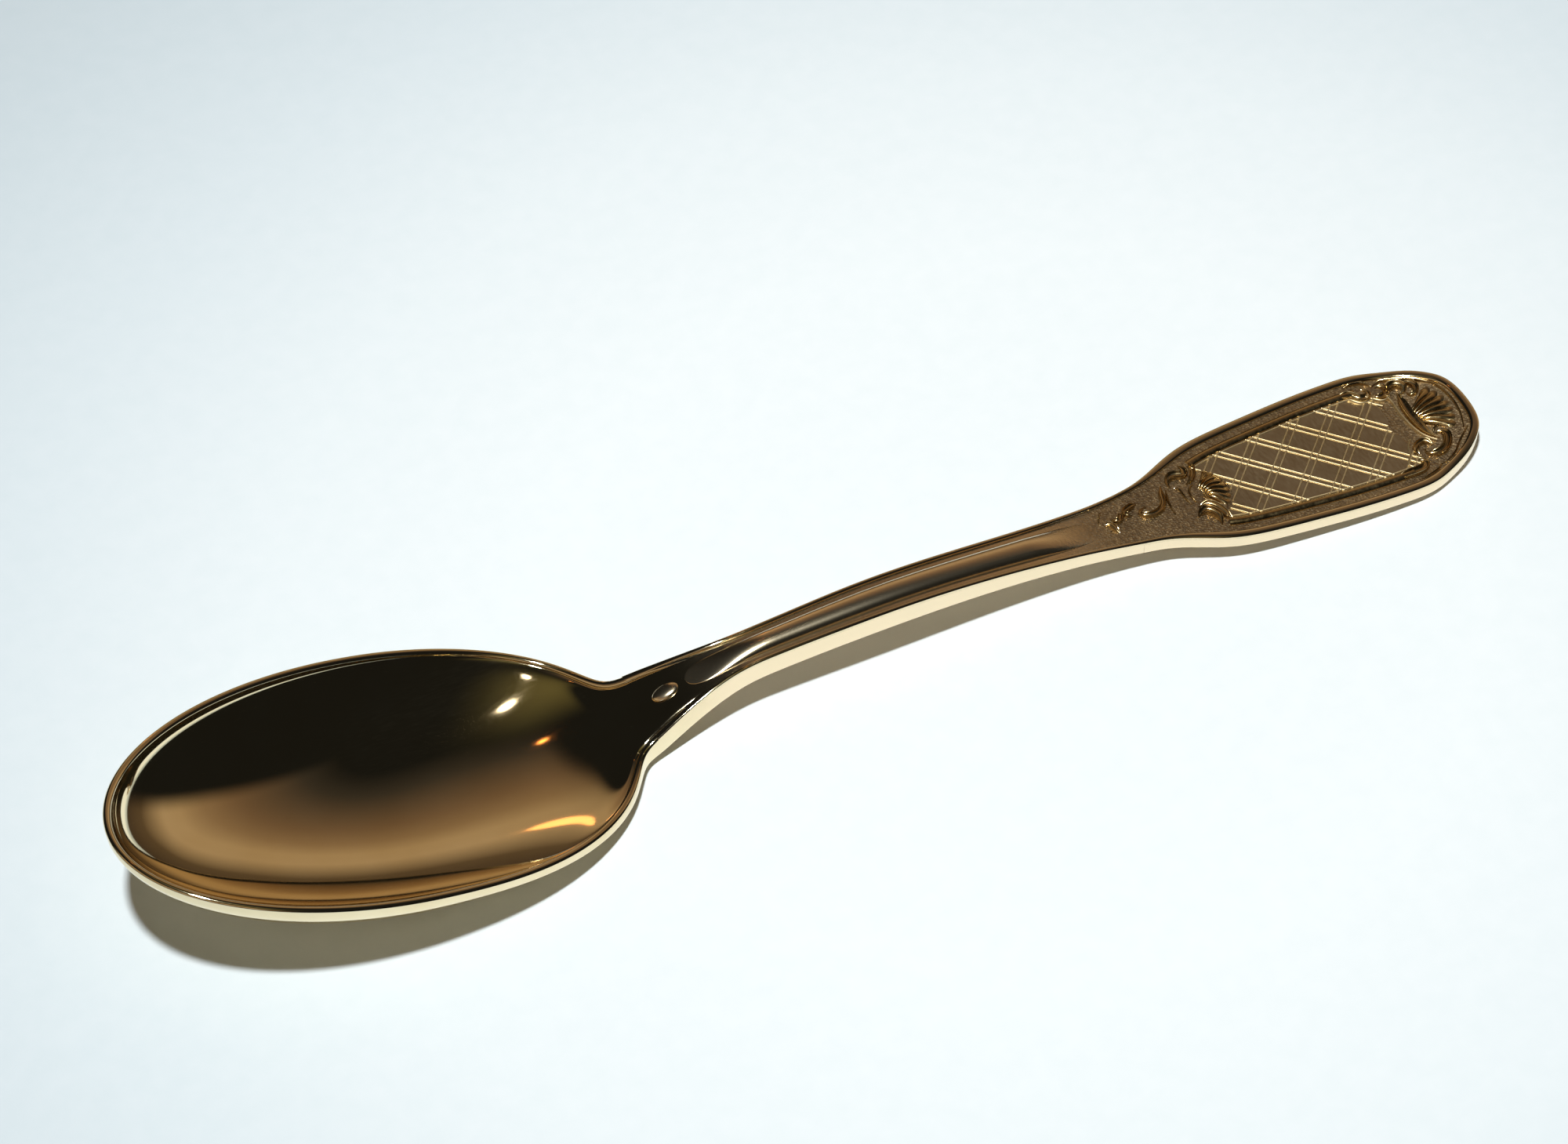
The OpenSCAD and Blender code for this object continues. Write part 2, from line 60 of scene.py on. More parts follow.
# %% Lengths of the spoon
OVERALL = 140.0
BOWL_L, BOWL_W, WIDEST, DEEPEST, DEPTH = 51.2, 30.4, 26.0, 18.0, 6.85
BOWL_WALL, HEEL_WALL, RIM_W = 1.1, 1.1 * 1.3, 0.8
TIP_Z, SIDE_Z, LOW_Z, BOWL_END_Z, NECK_END_Z = 13.1, 7.3, 2.3, 3.4, 6.0
NECK_L, NECK_W, NECK_END_W, NECK_T = 11.0, 8.3, 4.3, 2.9
ARCH_Z, WAIST_W, STEM_T, UNDER_R = 6.35, 4.7, 2.7, 1.2
DOWN_Z, DOWN_W, END_SLOPE = 4.25, 5.5, -0.05
TERM_L, TERM_W, SHOULDER_W, TERM_T = 38.0, 16.2, 6.8, 1.7
SUNK, THREAD_W, BORDER_W = 0.3, 0.5, 0.9
LOW_SHARE, ARCH_SHARE, DOWN_SHARE = 0.928, 0.296, 0.85

JOINT_X, STEM_X, LOW_X = OVERALL - TERM_L, BOWL_L + NECK_L, BOWL_L * LOW_SHARE
ARCH_X = STEM_X + (JOINT_X - STEM_X) * ARCH_SHARE
DOWN_X = STEM_X + (JOINT_X - STEM_X) * DOWN_SHARE
RAKE = math.hypot(1, END_SLOPE)
PLATE_L = TERM_L * RAKE
END_Z = (TERM_T + UNDER_R * END_SLOPE) / RAKE
JOINT_Z = END_Z - END_SLOPE * TERM_L
print("the terminal starts at", JOINT_X, "mm and stands", round(JOINT_Z, 2), "mm high there")

# %% [markdown]
# ## Curves through stations
# A spoon's edge bends like a ruler that is held at a few places. It could be drawn by hand as a
# Bezier curve, but the same curve also has to give slopes and thicknesses, so it is a function here:
# stations with a value and a slope, joined by cubic arcs. A short bell-shaped average then takes out
# the jumps of curvature at the stations.

# %% Curves
STEP = 0.05
GRID = np.arange(0, OVERALL + STEP / 2, STEP)


def ease(u):
    """A soft step from 0 to 1."""
    v = np.clip(u, 0, 1)
    return v * v * (3 - 2 * v)


def mix(a, b, u):
    """The value that lies the share u of the way from a to b."""
    return a + (b - a) * u


def along(x, stations):
    """A curve through stations, each a place, a value and a slope."""
    x = np.asarray(x, float)
    s = np.array(stations, float)
    i = np.clip(np.searchsorted(s[:, 0], x) - 1, 0, len(s) - 2)
    run = s[i + 1, 0] - s[i, 0]
    u = (x - s[i, 0]) / run
    c = u * u * (3 - 2 * u)
    return mix(s[i, 1], s[i + 1, 1], c) + run * u * (1 - u) * ((1 - u) * s[i, 2] - u * s[i + 1, 2])


def smoothed(values, step, sigma):
    """Evenly spaced values or points under a bell-shaped average, carried on straight past both ends."""
    n = int(4 * sigma / step)
    k = np.exp(-0.5 * (np.arange(-n, n + 1) * step / sigma) ** 2)
    k /= k.sum()
    rows = values.reshape(len(values), -1)
    start = rows[0] + (rows[1] - rows[0]) * np.arange(-n, 0)[:, None]
    end = rows[-1] + (rows[-1] - rows[-2]) * np.arange(1, n + 1)[:, None]
    long = np.concatenate([start, rows, end])
    return np.stack([np.convolve(column, k, "valid") for column in long.T], 1).reshape(values.shape)


def reader(places, values):
    """A curve given by close points, to be read at any place."""
    return lambda x: np.interp(x, places, values)


def table(values, sigma):
    """A smoothed curve along the whole spoon."""
    return reader(GRID, smoothed(values, STEP, sigma))


print("places along the spoon:", len(GRID))

# %% [markdown]
# ## Heights and walls
# From the side, the top edge falls from the bowl's tip to the heel, climbs through the neck, arches
# along the stem and falls again to the handle's end. The metal under it is thin in the bowl and thick
# in the stem, where it bends. A flat bar could be bent with a lattice, but the heights are known from
# the photograph, so they are stations, and everything on the spoon follows when one of them changes.

# %% Heights and walls along the spoon
# Each row is a place along the spoon, the height or the thickness there, and its slope.
EDGE = [[0, TIP_Z, -0.19], [WIDEST, SIDE_Z, -0.24], [LOW_X, LOW_Z, -0.12], [BOWL_L, BOWL_END_Z, 0.36],
        [STEM_X, NECK_END_Z, 0.04], [ARCH_X, ARCH_Z, 0], [DOWN_X, DOWN_Z, -0.13],
        [JOINT_X, JOINT_Z, END_SLOPE], [OVERALL, END_Z, END_SLOPE]]
WALLS = [[0, BOWL_WALL, 0], [WIDEST, BOWL_WALL, 0], [LOW_X, HEEL_WALL, 0.03], [BOWL_L, NECK_T, 0],
         [ARCH_X, STEM_T, 0], [JOINT_X, TERM_T, 0], [OVERALL, TERM_T, 0]]
EDGE_SOFT, WALL_SOFT = 1.5, 1.0
BOWL_SIDE, HANDLE_SIDE, SUNK_RUN = 0.75, 0.82, 8.0
edge_z = table(along(GRID, EDGE), EDGE_SOFT)
wall = table(along(GRID, WALLS), WALL_SOFT)
slope = table(np.gradient(edge_z(GRID), STEP), WALL_SOFT)


def side(x):
    """How far down the upright side reaches, as a share of the wall."""
    return wall(x) * mix(BOWL_SIDE, HANDLE_SIDE, ease((x - WIDEST) / WIDEST))


def sunk(x):
    """How deep the ground lies under the border. It starts level at the bowl."""
    return SUNK * ease((x - BOWL_L) / SUNK_RUN)


def spot(x, y, h):
    """A point of the blank: past the bowl, its height counts square to the top edge."""
    m = slope(x) * ease((x - BOWL_L) / NECK_L)
    q = np.sqrt(1 + m * m)
    return np.stack([x - h * m / q, y + 0 * x, np.maximum(edge_z(x) + h / q, 0)], -1)


print("edge heights:", [round(float(edge_z(x)), 2) for x in (0, 26, 47.5, 51.2, 62, 74, 102, 140)])

# %% [markdown]
# ## Outline of the bowl and the stem
# From above, the bowl is an egg whose broad end is the tip, and it runs into the neck in one sweep.
# An ellipse scaled at one end would leave a kink where it meets the neck, so the two widths are
# blended over a few millimetres, and the whole outline is smoothed once more as a plane curve.

# %% Widths along the spoon
EGG_END, EGG_P, EGG_Q, BLEND = BOWL_L * 0.969, 2.3, 0.45, 3
# Each row is a share of the plate's length, and of the way from its width at the joint to its widest.
SHOULDERS = [[-0.06, -0.08], [0, 0], [0.06, 0.08], [0.11, 0.23], [0.157, 0.41], [0.207, 0.59],
             [0.28, 0.745], [0.42, 0.86], [0.57, 0.97]]
lead = [[PLATE_L * a, mix(SHOULDER_W, TERM_W, b) / 2] for a, b in SHOULDERS]
joint_taper = (lead[2][1] - lead[0][1]) / (lead[2][0] - lead[0][0])
WIDTHS = [[0, NECK_W / 2, 0], [BOWL_L - NECK_L / 2, NECK_W / 2, 0], [BOWL_L, NECK_W / 2, -0.27],
          [STEM_X, NECK_END_W / 2, 0], [ARCH_X, WAIST_W / 2, 0.01], [DOWN_X, DOWN_W / 2, 0.065],
          [JOINT_X, SHOULDER_W / 2, joint_taper]]


def oval(x):
    """Half the width of the bowl's egg, which goes below 0 past its end."""
    front_half = np.sqrt(np.maximum(1 - (x / WIDEST - 1) ** 2, 0))
    q = 1 - np.maximum((x - WIDEST) / (EGG_END - WIDEST), 0) ** EGG_P
    return BOWL_W / 2 * np.where(x < WIDEST, front_half, np.sign(q) * np.abs(q) ** EGG_Q)


def half_w(x):
    """Half the width: the larger of the bowl's and the handle's, blended where they meet."""
    a, b = oval(x), along(x, WIDTHS)
    met = np.maximum(a, b) + np.maximum(BLEND - np.abs(a - b), 0) ** 2 / (4 * BLEND)
    return np.where(x < WIDEST, np.maximum(a, 0), met)


print("widths of the neck:", [round(2 * float(half_w(x)), 2) for x in (49.0, BOWL_L, 55.0, STEM_X)])

# %% [markdown]
# ## Steps along a curve
# Outlines are worked on as lists of points in a plane. Blender can resample a curve object, but only
# three things are needed here: how far along the curve a point lies, the same curve in even steps,
# and the direction square to it, which insets and ridges follow.

# %% Steps along a curve
def travelled(points):
    """How far along a plane curve each of its points lies."""
    return np.concatenate([[0], np.cumsum(np.hypot(*np.diff(points, axis=0).T))])


def even(points, step):
    """The same curve with evenly spaced points."""
    d = travelled(points)
    s = np.linspace(0, d[-1], int(round(d[-1] / step)) + 1)
    return np.stack([np.interp(s, d, points[:, j]) for j in range(points.shape[1])], 1)


def outward(points):
    """Unit vectors square to a plane curve, on its left."""
    t = np.gradient(points, axis=0)
    t /= np.hypot(t[:, 0], t[:, 1])[:, None]
    return np.stack([-t[:, 1], t[:, 0]], 1)


print("square to a line toward +X:", outward(np.array([[0.0, 0.0], [1.0, 0.0]]))[0])

# %% [markdown]
# ## The whole edge in one sweep
# The front of the bowl is a quarter of an ellipse, walked by its angle, because steps along x would
# leave out the steep tip. The rest is walked along x. Both sides are smoothed together, so that the
# tip is round and not a peak, and one half is kept, with a second line beside it where the rim ends.

# %% Edge of the bowl and the stem
FRONT_POINTS, WALK_X, CLOSE, OUTLINE_SOFT = 600, 0.1, 0.05, 1.0
phi = np.linspace(0, math.pi / 2, FRONT_POINTS)
front = np.stack([WIDEST * (1 - np.cos(phi)), BOWL_W / 2 * np.sin(phi)], 1)
xs = np.arange(WIDEST + WALK_X, JOINT_X + 1e-6, WALK_X)
half = np.concatenate([front, np.stack([xs, half_w(xs)], 1)])
whole = smoothed(even(np.concatenate([half[:0:-1] * [1, -1], half]), CLOSE), CLOSE, OUTLINE_SOFT)
fine = whole[len(whole) // 2:]
fine[0, 1] = 0
fine[-1, 0] = JOINT_X
inner = fine - outward(fine) * RIM_W
inner[0] = [fine[0, 0] + RIM_W, 0]
width_at, inner_at = reader(*fine.T), reader(*inner.T)
print("outline points:", len(fine), "from", fine[0].round(3), "to", fine[-1].round(3))

# %% [markdown]
# ## Outline of the terminal
# The handle ends in a broad plate with soft shoulders. Its outline follows few leading points, as a
# spring strip follows a draughtsman's weights. The border and the panel's frame run beside it, so the
# leading points can be moved inward, and the curve stays smooth at any inset.

# %% Leading points of the terminal
END_SHORT, NOSE_SHARE, STRAIGHT = 0.45, 0.34, 3
# Each row is a share of the plate's length and of its half width.
ENDS = [[0.69, 1], [0.775, 0.995], [0.84, 0.88], [0.903, 0.75], [0.95, 0.57]]
lead += [[PLATE_L * a, TERM_W / 2 * b] for a, b in ENDS]
# Between two mirrored points the curve passes at 23 parts of theirs and 1 part of the point before them.
nose = [(24 * (PLATE_L - END_SHORT) - lead[-1][0]) / 23, TERM_W / 2 * NOSE_SHARE]
lead = np.array(lead + [nose, [nose[0], -nose[1]], [lead[-1][0], -lead[-1][1]]])
count = len(lead)


def inward(i):
    """How a leading point moves for each millimetre of inset. The first ones move straight inward."""
    if i < STRAIGHT:
        return np.array([0.0, -1.0])
    a, b = lead[i] - lead[i - 1], lead[i + 1] - lead[i]
    a, b = a / np.hypot(*a), b / np.hypot(*b)
    n = np.array([a[1] + b[1], -a[0] - b[0]])
    n /= np.hypot(*n)
    return n / (n @ np.array([a[1], -a[0]]))


inwards = [inward(i) for i in range(count - 2)]
inwards.append(inwards[-1] * [1, -1])
print("leading points:", count, "with the end one", round(nose[0], 2), "mm from the joint")

# %% [markdown]
# ## Rails and seats
# A rail is the terminal's outline at any inset, and a seat is a point on the plate with its height
# over the border's top. The plate slopes down to its end and turns up a little past the panel, so
# everything that is laid on it asks for its seat, and nothing has to be moved or tilted afterwards.

# %% Rails and seats of the terminal
SPAN, TURN_UP, TURN_FROM, TURN_RUN = 24, 0.9, 30, 8.5


def spline(p, per):
    """A smooth curve led by points, with so many points in each span."""
    p = np.asarray(p, float)
    out = []
    for i in range(len(p) - 3):
        for u in np.arange(per) / per:
            out.append(((1 - u) ** 3 * p[i] + (3 * u ** 3 - 6 * u * u + 4) * p[i + 1]
                        + (1 + 3 * u * (1 + u * (1 - u))) * p[i + 2] + u ** 3 * p[i + 3]) / 6)
    return np.array(out)


def rail(inset, per=SPAN):
    """The terminal's outline in its own plane, from the joint to the middle of its end, at an inset."""
    p = np.array([lead[i] + inwards[i] * inset for i in range(count - 1)])
    c = spline(np.concatenate([p, [p[-3] * [1, -1]]]), per)
    return c[:(len(p) - 3) * per + per // 2 + 1]


def seat(p, h):
    """A point of the terminal in space, from its place on the plate and its height over the border."""
    p = np.asarray(p, float)
    h = h + TURN_UP * ease((p[..., 0] - TURN_FROM) / TURN_RUN)
    return np.stack([JOINT_X + (p[..., 0] - h * END_SLOPE) / RAKE, p[..., 1],
                     np.maximum(JOINT_Z + (p[..., 0] * END_SLOPE + h) / RAKE, 0)], -1)


print("terminal's widest:", round(2 * float(rail(0)[:, 1].max()), 2))

# %% [markdown]
# ## Meshes
# Each piece is made of closed rings of points, one ring after the other, like the ribs of a boat. The
# skin between two rings is a band of quads, and the first and the last ring are closed with a cap.
# Merging doubles closes the places where rings meet in a point, and recalculating the normals turns
# all faces outward.

# %% Welding a mesh
WELD = 2e-7


def deselect():
    """Nothing stays selected, because an operator acts on all that is."""
    bpy.ops.object.select_all(action="DESELECT")


def make_mesh(name, verts, faces, angle):
    """A mesh object from points in millimetres, welded, with its faces outward."""
    v = np.asarray(verts, float).reshape(-1, 3).copy()
    v[:, 0] -= OVERALL / 2
    mesh = bpy.data.meshes.new(name)
    mesh.from_pydata((v * MM).tolist(), [], [list(f) for f in faces])
    obj = bpy.data.objects.new(name, mesh)
    bpy.context.scene.collection.objects.link(obj)
    deselect()
    obj.select_set(True)
    bpy.context.view_layer.objects.active = obj
    bpy.ops.object.mode_set(mode="EDIT")
    bpy.ops.mesh.select_all(action="SELECT")
    bpy.ops.mesh.remove_doubles(threshold=WELD)
    bpy.ops.mesh.delete_loose()
    bpy.ops.mesh.select_all(action="SELECT")
    bpy.ops.mesh.normals_make_consistent(inside=False)
    bpy.ops.object.mode_set(mode="OBJECT")
    bpy.ops.object.shade_smooth_by_angle(angle=math.radians(angle))
    return obj


print("points closer than", round(WELD / MM, 4), "mm are welded")

# %% [markdown]
# ## Rings and places
# Rings of points become quads here. The bridge operator could join them two by two, but it chooses for
# itself which points to join, and on a mirror the quads have to run straight. A finished piece then takes
# the place of the CAD nodes it stands for, which are hidden. Every piece of a spoon moves with the one
# body.

# %% Rings and places
def grid_faces(rows, cols, closed=False, start=0):
    """Quads between rows of points. A closed row runs on to its first point."""
    out = []
    for i in range(rows - 1):
        for j in range(cols if closed else cols - 1):
            m = (j + 1) % cols
            a, b = start + i * cols, start + (i + 1) * cols
            out.append((a + j, a + m, b + m, b + j))
    return out


def skins(name, parts, angle=40):
    """One object from one or more closed skins, each a list of rings."""
    verts, faces, start = [], [], 0
    for rings in parts:
        n, m = rings.shape[:2]
        faces += grid_faces(n, m, closed=True, start=start)
        faces += [tuple(start + k for k in range(m)), tuple(start + (n - 1) * m + k for k in range(m))]
        verts.append(rings.reshape(-1, 3))
        start += n * m
    return make_mesh(name, np.concatenate(verts), faces, angle)


def place(obj, *replaced):
    """The piece rides on the only body, and the CAD nodes that it stands for are hidden."""
    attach(obj, "root")
    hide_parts(*replaced)
    triangles = sum(len(p.vertices) - 2 for p in obj.data.polygons)
    print(obj.name, "stands for", ", ".join(replaced), "with", triangles, "triangles")
    return obj


print("quads between three rings of four points:", len(grid_faces(3, 4, closed=True)))

# %% [markdown]
# ## Nodes of a material
# A material could be wired by hand in the shader editor. In a script, one function that adds a node
# is enough: it takes the node's settings, and for each input either a value or the socket that feeds
# it.

# %% Helpers for materials
SOFT = {"interpolation_type": "SMOOTHSTEP"}


def linear(code):
    """A colour written as hex, in linear light."""
    c = [int(code[i:i + 2], 16) / 255 for i in (1, 3, 5)]
    return [x / 12.92 if x <= 0.04045 else ((x + 0.055) / 1.055) ** 2.4 for x in c] + [1.0]


def add(tree, kind, inputs=None, stops=(), **settings):
    """One node with its settings, what its inputs hold or are fed by, and the stops of its ramp."""
    node = tree.nodes.new(kind)
    for key, value in settings.items():
        setattr(node, key, value)
    for key, value in (inputs or {}).items():
        if isinstance(value, bpy.types.NodeSocket):
            tree.links.new(value, node.inputs[key])
        else:
            node.inputs[key].default_value = value
    while stops and len(node.color_ramp.elements) < len(stops):
        node.color_ramp.elements.new(0.5)
    for i, (where, colour) in enumerate(stops):
        node.color_ramp.elements[i].position = where
        node.color_ramp.elements[i].color = colour
    return node


def start_material(name):
    """An empty material, with its node tree and its object coordinates."""
    mat = bpy.data.materials.new(name)
    mat.use_nodes = True
    tree = mat.node_tree
    tree.nodes.clear()
    return mat, tree, add(tree, "ShaderNodeTexCoord").outputs["Object"]


def per_mm(*repeats):
    """The scale of a pattern with so many repeats per millimetre along each axis."""
    return [r / MM for r in repeats]


def span(start, stop):
    """Two places in millimetres from the bowl's tip, as the range that a Map Range node reads."""
    return {"From Min": (start - OVERALL / 2) * MM, "From Max": (stop - OVERALL / 2) * MM}


def clothe(obj, mat):
    """The piece gets one material in place of those it had."""
    obj.data.materials.clear()
    obj.data.materials.append(mat)
    return obj


print("white in linear light:", linear("#FFFFFF"))

# %% [markdown]
# ## Gilding
# The real finish is a thin layer of gold over struck metal: a metal shader with a pale yellow colour.
# What tells a real spoon from a plastic one is that nothing on it is even. The colour deepens in
# patches of some millimetres, and hairlines from wiping run along it, both in the gloss and in the
# surface. An image of scratches could be laid over it, but a noise that is stretched along the spoon
# never repeats and needs no seam.

# %% Patches and hairlines
PATCHES, PATCH_STOPS, LINE_RANGE = (0.12, 0.12, 0.12), (0.3, 0.75), (0.35, 0.75)


def start_gilt(name, colour, deep, rough, rough_more, hair, hair_depth):
    """Gilding in patches of two shades, with hairlines. It returns what the next steps add to."""
    mat, tree, coords = start_material(name)
    shades = [linear(deep), linear(colour)]
    space = add(tree, "ShaderNodeMapping", {"Vector": coords, "Scale": per_mm(*PATCHES)})
    cloud = add(tree, "ShaderNodeTexNoise", {
        "Vector": space.outputs["Vector"], "Scale": 1.0, "Detail": 3.0, "Roughness": 0.55})
    tone = add(tree, "ShaderNodeValToRGB", {"Fac": cloud.outputs["Fac"]}, list(zip(PATCH_STOPS, shades)))
    space = add(tree, "ShaderNodeMapping", {"Vector": coords, "Scale": per_mm(*hair)})
    lines = add(tree, "ShaderNodeTexNoise", {
        "Vector": space.outputs["Vector"], "Scale": 1.0, "Detail": 4.0, "Roughness": 0.6}).outputs["Fac"]
    gloss = add(tree, "ShaderNodeMapRange", {
        "Value": lines, "From Min": LINE_RANGE[0], "From Max": LINE_RANGE[1],
        "To Min": rough, "To Max": rough + rough_more})
    normal = add(tree, "ShaderNodeBump", {"Height": lines, "Strength": 1.0, "Distance": hair_depth * MM})
    return {"material": mat, "tree": tree, "coords": coords, "shades": shades,
            "tone": tone.outputs["Color"], "gloss": gloss.outputs["Result"],
            "normal": normal.outputs["Normal"]}


print("a patch of colour is about", round(1 / PATCHES[0], 1), "mm wide")

# %% [markdown]
# ## Where the gilding changes
# The polish stops in the neck, where a buffing wheel no longer reaches, and the metal turns paler and
# duller. The ground of the handle's end is stippled: the die holds hundreds of small points, and
# their dents look like ground meal. Modelled dents would need millions of faces, so they are a
# pattern of cells in the bump, which fades in along the spoon as the die's own stipple does.

# %% Waning polish and stipple
POLISHED, PALE = "#F6E6C2", "#F8E4C2"
SPECK_STOPS, SPECK_SHARE, WAIST_ROUGH = (0.35, 0.8), 0.5, 0.18


def wane(gold, start, stop, rougher):
    """Gilding that turns duller and paler between two places along the spoon."""
    tree = gold["tree"]
    x = add(tree, "ShaderNodeSeparateXYZ", {"Vector": gold["coords"]}).outputs["X"]
    more = add(tree, "ShaderNodeMapRange", {"Value": x, **span(start, stop), "To Max": rougher}, **SOFT)
    pale = add(tree, "ShaderNodeMapRange", {"Value": x, **span(start, stop)}, **SOFT)
    gold["gloss"] = add(tree, "ShaderNodeMath", {
        0: gold["gloss"], 1: more.outputs["Result"]}, operation="ADD").outputs["Value"]
    gold["tone"] = add(tree, "ShaderNodeMix", {
        0: pale.outputs["Result"], 6: gold["tone"], 7: linear(PALE)}, data_type="RGBA").outputs[2]


def stipple(gold, depth, dents, start, stop):
    """Dents of a depth in millimetres, so many to a millimetre, that fade in between two places."""
    tree, coords = gold["tree"], gold["coords"]
    space = add(tree, "ShaderNodeMapping", {"Vector": coords, "Scale": per_mm(dents, dents, dents)})
    cells = add(tree, "ShaderNodeTexVoronoi", {
        "Vector": space.outputs["Vector"], "Scale": 1.0, "Randomness": 1.0}).outputs
    stops = list(zip(SPECK_STOPS, gold["shades"]))
    specks = add(tree, "ShaderNodeValToRGB", {"Fac": cells["Color"]}, stops)
    mealy = add(tree, "ShaderNodeMix", {
        0: SPECK_SHARE, 6: gold["tone"], 7: specks.outputs["Color"]}, data_type="RGBA").outputs[2]
    x = add(tree, "ShaderNodeSeparateXYZ", {"Vector": coords}).outputs["X"]
    here = add(tree, "ShaderNodeMapRange", {"Value": x, **span(start, stop)}, **SOFT).outputs["Result"]
    gold["tone"] = add(tree, "ShaderNodeMix", {
        0: here, 6: linear(PALE), 7: mealy}, data_type="RGBA").outputs[2]
    gold["gloss"] = add(tree, "ShaderNodeMapRange", {
        "Value": here, "To Min": WAIST_ROUGH, "To Max": gold["gloss"]}).outputs["Result"]
    gold["normal"] = add(tree, "ShaderNodeBump", {
        "Height": cells["Distance"], "Normal": gold["normal"], "Strength": here,
        "Distance": depth * MM}).outputs["Normal"]


print("gold on the bowl", POLISHED, "and on the handle", PALE)

# %% [markdown]
# ## Six finishes
# One spoon shows six of them, because each tool and each year of use leaves the gilding different.
# They could be six separate node trees, but then a change to the gold would have to be made six
# times, so one function makes them all. Real hairlines are a hundredth of a millimetre wide and would
# not show, so they are drawn about a seventh of a millimetre wide and 2 mm long. The stipple's dents
# are a little over 0.2 mm wide, as on the real one.

# %% Finishes
# How often the marks of each surface repeat in a millimetre along x, y and z.
HAIRLINES, ACROSS_GRAIN, FINE_GRAIN, PITTED = (0.5, 7, 7), (6, 1.2, 6), (3, 3, 3), (2, 2, 2)


def gilt(name, colour, deep, waning=None, dents=None, **surface):
    """One finish of the gilding, on a metal shader."""
    gold = start_gilt(name, colour, deep, **surface)
    if waning:
        wane(gold, *waning)
    if dents:
        stipple(gold, *dents)
    shader = add(gold["tree"], "ShaderNodeBsdfPrincipled", {
        "Metallic": 1.0, "Base Color": gold["tone"], "Roughness": gold["gloss"], "Normal": gold["normal"]})
    add(gold["tree"], "ShaderNodeOutputMaterial", {"Surface": shader.outputs["BSDF"]})
    return gold["material"]


# Struck and polished gilding: it mirrors the room, and grows a little duller and paler along the neck.
polished = gilt("polished_gilt", POLISHED, "#EBD8B0", rough=0.04, rough_more=0.035,
                hair=HAIRLINES, hair_depth=0.0004, waning=(52, 60, 0.12))
# Stippled gilding: the die's dents scatter the light, so the ground looks brown and mealy.
stippled = gilt("stippled_gilt", "#C2A67C", "#7C6850", rough=0.36, rough_more=0.15,
                hair=FINE_GRAIN, hair_depth=0.004, dents=(0.04, 4.5, 92, 100))
# Burnished gilding: hands and cloths rub the border, so it is the palest and brightest metal of the handle.
burnished = gilt("burnished_gilt", PALE, "#EADBB6", rough=0.05, rough_more=0.04,
                 hair=HAIRLINES, hair_depth=0.0004)
# Satin gilding: the panel's ground was never polished, so it stays grey-brown and even from all sides.
satin = gilt("satin_gilt", "#BFAE90", "#AC9A7C", rough=0.3, rough_more=0.12,
             hair=ACROSS_GRAIN, hair_depth=0.002)
# Relief gilding: scrolls and shells catch small lights on their backs and keep dirt in their hollows.
relief = gilt("relief_gilt", "#DCC597", "#B89B6B", rough=0.14, rough_more=0.14,
              hair=PITTED, hair_depth=0.001)
# Worn relief gilding: the trellis lines are rubbed, so they stay light from every side and never sparkle.
worn = gilt("worn_relief_gilt", "#F2E0B8", "#D8BE8C", rough=0.42, rough_more=0.1,
            hair=PITTED, hair_depth=0.001)
print("materials:", [m.name for m in (polished, stippled, burnished, satin, relief, worn)])

# %% [markdown]
# ## The bowl's depths
# A punch presses the bowl into a hollow that is deepest before its middle, steep at the tip and
# gentle toward the heel. A piece cut from a ball would be too deep at its sides and too shallow at
# the tip, so the depth is a curve of its own. The underside follows another one, a wall deeper, which
# starts from a thin edge at the tip.

# %% Depths along the bowl
TIP_X, HEEL_X = float(inner[0, 0]), BOWL_L + RIM_W
FRONT_ROUND, BACK_ROUND, NOSE_ROUND = 0.55, 2, 0.62
HOLLOW_SOFT, HOLLOW_FROM, BODY_SOFT, BODY_FROM, SOFT_RUN = 2.0, 5, 1.5, 4, 6
u_front = np.clip((DEEPEST - GRID) / (DEEPEST - TIP_X), 0, 1)
u_back = np.clip((GRID - DEEPEST) / (HEEL_X - DEEPEST), 0, 1)
raw = DEPTH * np.where(GRID < DEEPEST, (1 - u_front ** 2) ** FRONT_ROUND, (1 - u_back ** 2) ** BACK_ROUND)
deep_at = mix(raw, smoothed(raw, STEP, HOLLOW_SOFT), ease((GRID - HOLLOW_FROM) / SOFT_RUN))
hollow = reader(GRID, deep_at)
u_nose = np.clip((DEEPEST - GRID) / DEEPEST, 0, 1)
nose_t = side(0.0) + (DEPTH + BOWL_WALL - side(0.0)) * (1 - u_nose ** 2) ** NOSE_ROUND
body = smoothed(np.where(GRID < DEEPEST, nose_t, raw + wall(GRID)), STEP, BODY_SOFT)
body = mix(nose_t, body, ease((GRID - BODY_FROM) / SOFT_RUN))
under_at = reader(GRID, body)
print("deepest:", round(float(deep_at.max()), 2), "mm under the rim")

# %% [markdown]
# ## Across the bowl
# Across, the hollow is fuller than a circle's arc, with steep sides and a wide floor. The rim is a
# rounded lip. A subdivided cage could be pulled into this form, but its floor would ripple between
# the cage's points, so each height is worked out from its share of the way to the rim. A shallow dip
# before the heel keeps the floor curved there, because a flat place in a mirror draws one small lamp
# out into a long streak.

# %% Heights across the blank
CROSS_P, TOP_Q, UNDER_Q = 2.0, 0.68, 0.58
LIP, LIP_P, LIP_RUN = 0.35, 10, 6
DIP, DIP_X, DIP_R, DIP_P = 0.5, 42.0, 6.0, 4


def top_h(x, y):
    """The height of the hollow and of the handle's ground, counted from the top edge."""
    s = np.clip(y / np.maximum(inner_at(x), 1e-6), 0, 1)
    dip = DIP * np.exp(-((x - DIP_X) / DIP_R) ** 2 / 2 - (y / DIP_R) ** 2 / 2) * (1 - s ** DIP_P)
    return -sunk(x) - hollow(x) * (1 - s ** CROSS_P) ** TOP_Q - dip


